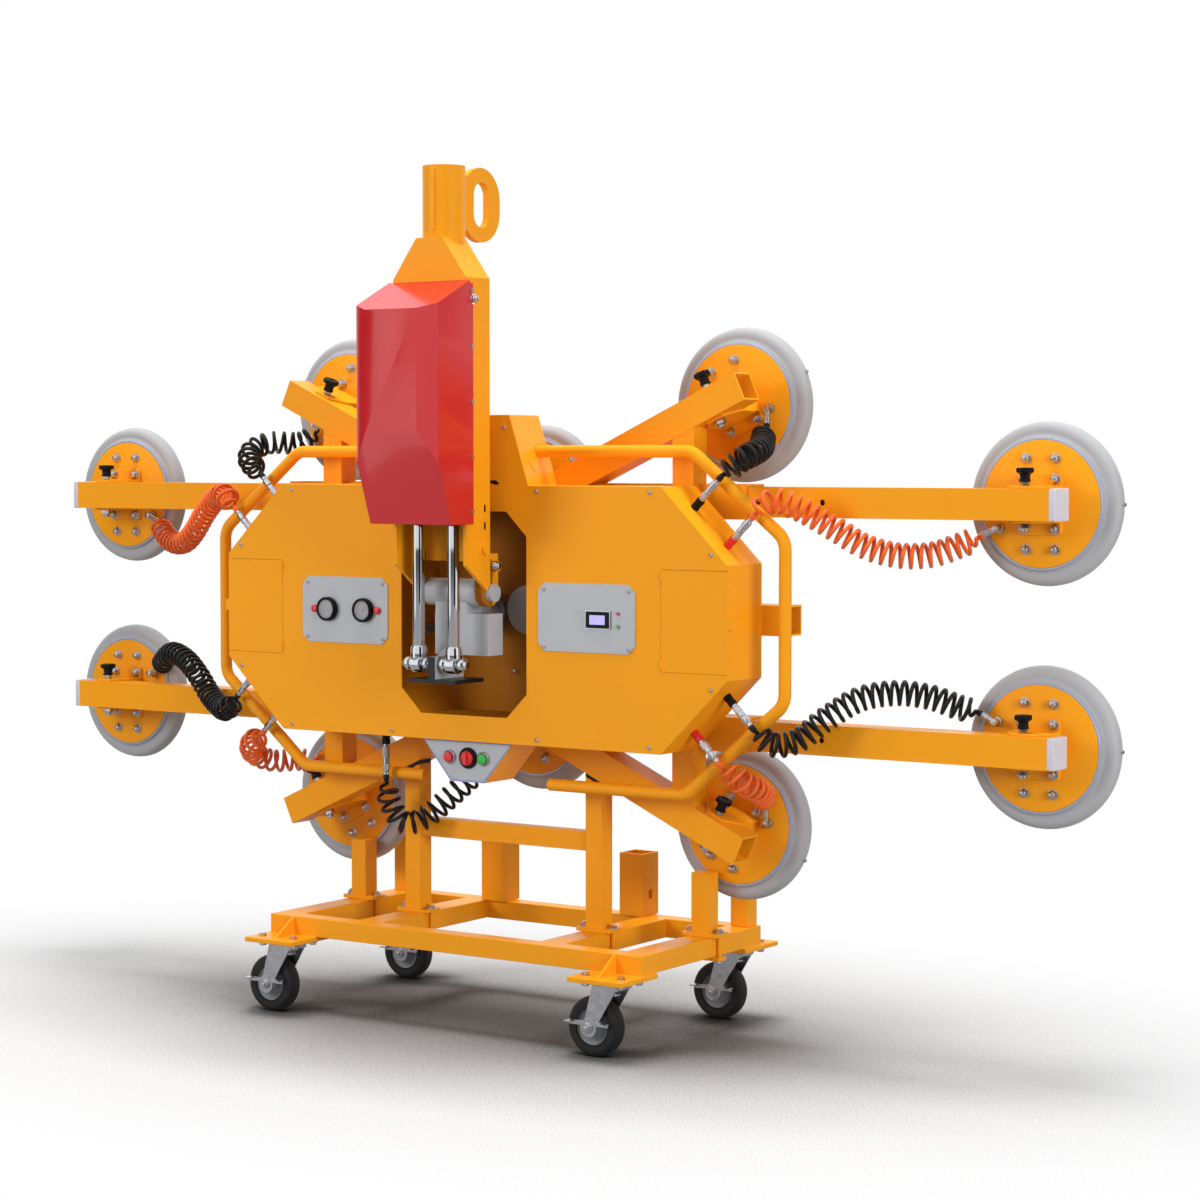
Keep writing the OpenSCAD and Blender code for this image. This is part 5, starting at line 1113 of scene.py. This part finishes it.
class LIFTER_OT_stage(bpy.types.Operator):
    """Pale studio floor that fades to white, soft lamps, and the camera at the photograph's angle."""

    bl_idname = "lifter.stage"
    bl_label = "Studio"

    def execute(self, context):
        """Makes the floor, the cards and the lamps, then the camera."""
        self.floor()
        self.cards()
        self.lamps()
        data = bpy.data.cameras.new("studio_camera")
        data.lens, data.sensor_width, data.clip_end = LENS, SENSOR, 100.0
        camera = put("studio_camera", data)
        camera.location = CAMERA_PLACE
        camera.rotation_euler = (math.radians(CAMERA_TURNS[0]), 0, math.radians(CAMERA_TURNS[1]))
        context.scene.camera = camera
        return {"FINISHED"}

    def floor(self):
        """A round floor: matte paint near the lifter, darkened there by painted shade, plain white far away for the
        eye, mid grey for bounced light.
        """
        t = 2 * np.pi * np.arange(FLOOR_SIDES) / FLOOR_SIDES
        edge = np.stack([FLOOR_RADIUS * np.cos(t), FLOOR_RADIUS * np.sin(t), 0 * t], -1)
        material = blank("studio_paint")
        tree = material.node_tree
        eye = add_node(tree, "ShaderNodeLightPath").outputs["Is Camera Ray"]
        place = add_node(tree, "ShaderNodeTexCoord").outputs["Object"]
        oval = add_node(tree, "ShaderNodeVectorMath", {0: place, 1: (1 / FADE_X, 1 / FADE_Y, 0)}, operation="MULTIPLY")
        far = add_node(tree, "ShaderNodeVectorMath", {0: oval.outputs["Vector"]}, operation="LENGTH").outputs["Value"]
        fade = add_node(tree, "ShaderNodeMapRange", {"Value": far, "From Min": 0.45, "From Max": 1.1},
                        interpolation_type="SMOOTHSTEP").outputs["Result"]
        grit = add_node(tree, "ShaderNodeTexNoise", {"Vector": place, "Scale": 330.0, "Detail": 1.0}).outputs["Fac"]
        tone = add_node(tree, "ShaderNodeMapRange", {"Value": grit, "From Min": 0.3, "From Max": 0.7, "To Min": 0.40,
                                                     "To Max": 0.76}).outputs["Result"]
        # Painted shade: the floor's paint darkens with the square of the ambient occlusion, under and near the lifter
        near = add_node(tree, "ShaderNodeAmbientOcclusion", {"Distance": 0.9}, samples=8).outputs["AO"]
        deep = add_node(tree, "ShaderNodeMath", {0: near, 1: 2.0}, operation="POWER").outputs["Value"]
        tone = add_node(tree, "ShaderNodeMath", {0: tone, 1: deep}, operation="MULTIPLY").outputs["Value"]
        paint = add_node(tree, "ShaderNodeBsdfDiffuse", {"Color": tone}).outputs["BSDF"]
        grey = add_node(tree, "ShaderNodeBsdfDiffuse", {"Color": linear("#8E8E8E")}).outputs["BSDF"]
        glow = add_node(tree, "ShaderNodeEmission", {"Color": (1, 1, 1, 1), "Strength": 1.0}).outputs["Emission"]
        seen = add_node(tree, "ShaderNodeMixShader", {"Fac": fade, 1: paint, 2: glow}).outputs["Shader"]
        mix = add_node(tree, "ShaderNodeMixShader", {"Fac": eye, 1: grey, 2: seen}).outputs["Shader"]
        add_node(tree, "ShaderNodeOutputMaterial", {"Surface": mix})
        sheet("studio_floor", edge.tolist(), material)

    def cards(self):
        """Tall dark and white cards round the lifter that only reflections see: they draw the bands on chrome."""
        for name, middle, half, glow in CARDS:
            cloth = blank(name)
            shine = add_node(cloth.node_tree, "ShaderNodeEmission", {"Color": (1, 1, 1, 1), "Strength": glow})
            add_node(cloth.node_tree, "ShaderNodeOutputMaterial", {"Surface": shine.outputs["Emission"]})
            a = np.radians([middle - half, middle + half])
            x, y = CARD_DISTANCE * np.cos(a), CARD_DISTANCE * np.sin(a)
            corners = [(x[k], y[k], z) for k, z in ((0, CARD_LOW), (1, CARD_LOW), (1, CARD_HIGH), (0, CARD_HIGH))]
            card = sheet(name, corners, cloth)
            card.visible_camera = card.visible_diffuse = card.visible_shadow = False
            card.visible_transmission = card.visible_volume_scatter = False

    def lamps(self):
        """A white world for the eye, a dimmer one for light, and soft area lamps."""
        world = bpy.data.worlds.new("studio_world")
        bpy.context.scene.world = world
        world.use_nodes = True
        tree = world.node_tree
        tree.nodes.clear()
        ray = add_node(tree, "ShaderNodeLightPath")
        lit = add_node(tree, "ShaderNodeMath", {0: ray.outputs["Is Diffuse Ray"], 1: ray.outputs["Is Shadow Ray"]},
                       operation="MAXIMUM").outputs["Value"]
        seen = add_node(tree, "ShaderNodeMath", {0: 1.0, 1: lit}, operation="SUBTRACT").outputs["Value"]
        dim = add_node(tree, "ShaderNodeBackground", {"Color": (1, 1, 1, 1), "Strength": 0.36}).outputs["Background"]
        white = add_node(tree, "ShaderNodeBackground", {"Color": (1, 1, 1, 1), "Strength": 1.0}).outputs["Background"]
        mix = add_node(tree, "ShaderNodeMixShader", {"Fac": seen, 1: dim, 2: white}).outputs["Shader"]
        add_node(tree, "ShaderNodeOutputWorld", {"Surface": mix})
        for name, place, size, power in LAMPS:
            data = bpy.data.lights.new(name, "AREA")
            data.shape, data.size, data.energy = "SQUARE", size, power
            lamp = put(name, data)
            lamp.location = place
            lamp.visible_glossy = False
            aim = np.array(LAMP_AIM) - np.array(place)
            lamp.rotation_euler = (math.acos(float(-aim[2] / np.linalg.norm(aim))), 0,
                                   math.atan2(float(aim[1]), float(aim[0])) - math.pi / 2)


# Sizes, colours and the sidebar


class LifterSizes(bpy.types.PropertyGroup):
    """Sizes that a user may change."""

    arm_turns: IntProperty(name="Arm hose turns", description="Turns of each long curly hose", default=26, min=10,
                           max=30)
    short_turns: IntProperty(name="Short hose turns", description="Turns of each short curly hose", default=13, min=5,
                             max=16)
    edge_round: FloatProperty(name="Edge rounding", description="Rounding of steel edges in millimetres", default=1.6,
                              min=0.2, max=3.0)


class LifterColours(bpy.types.PropertyGroup):
    """Colours that a user may change."""

    paint: FloatVectorProperty(name="Paint", description="Powder coat of the steel", subtype="COLOR", size=4, min=0,
                               max=1, default=linear("#F5A11B"))
    cover: FloatVectorProperty(name="Cover", description="Enamel of the mast's cover", subtype="COLOR", size=4, min=0,
                               max=1, default=linear("#CC2228"))


# The operators in the order in which main calls them
PIECES = ("stage", "painted_steel", "bumper", "cups", "hoses", "couplers", "instruments", "controls", "mast",
          "interior", "casters", "fasteners")


class LIFTER_PT_sidebar(bpy.types.Panel):
    """Lists the pieces of the lifter with their sizes and colours."""

    bl_idname = "LIFTER_PT_sidebar"
    bl_label = "Glass panel lifter"
    bl_space_type = "VIEW_3D"
    bl_region_type = "UI"
    bl_category = "Lifter"

    def draw(self, context):
        """Shows the sizes, the colours and a button for each piece."""
        for group, names in ((context.scene.lifter_sizes, ("arm_turns", "short_turns", "edge_round")),
                             (context.scene.lifter_colours, ("paint", "cover"))):
            for name in names:
                self.layout.prop(group, name)
        for name in PIECES:
            self.layout.operator(f"lifter.{name}")


CLASSES = (LifterSizes, LifterColours, LIFTER_OT_stage, LIFTER_OT_painted_steel, LIFTER_OT_bumper, LIFTER_OT_cups,
           LIFTER_OT_hoses, LIFTER_OT_couplers, LIFTER_OT_instruments, LIFTER_OT_controls, LIFTER_OT_mast,
           LIFTER_OT_interior, LIFTER_OT_casters, LIFTER_OT_fasteners, LIFTER_PT_sidebar)


def register():
    """Registers the classes and hangs the sizes and colours on the scene."""
    for made in CLASSES:
        bpy.utils.register_class(made)
    bpy.types.Scene.lifter_sizes = PointerProperty(type=LifterSizes)
    bpy.types.Scene.lifter_colours = PointerProperty(type=LifterColours)


def unregister():
    """Takes back what register did."""
    del bpy.types.Scene.lifter_colours
    del bpy.types.Scene.lifter_sizes
    for made in reversed(CLASSES):
        bpy.utils.unregister_class(made)


def main():
    """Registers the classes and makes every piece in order."""
    register()
    bpy.context.scene.view_settings.view_transform = "Standard"
    for name in PIECES:
        getattr(bpy.ops.lifter, name)()


if __name__ == "__main__":
    main()
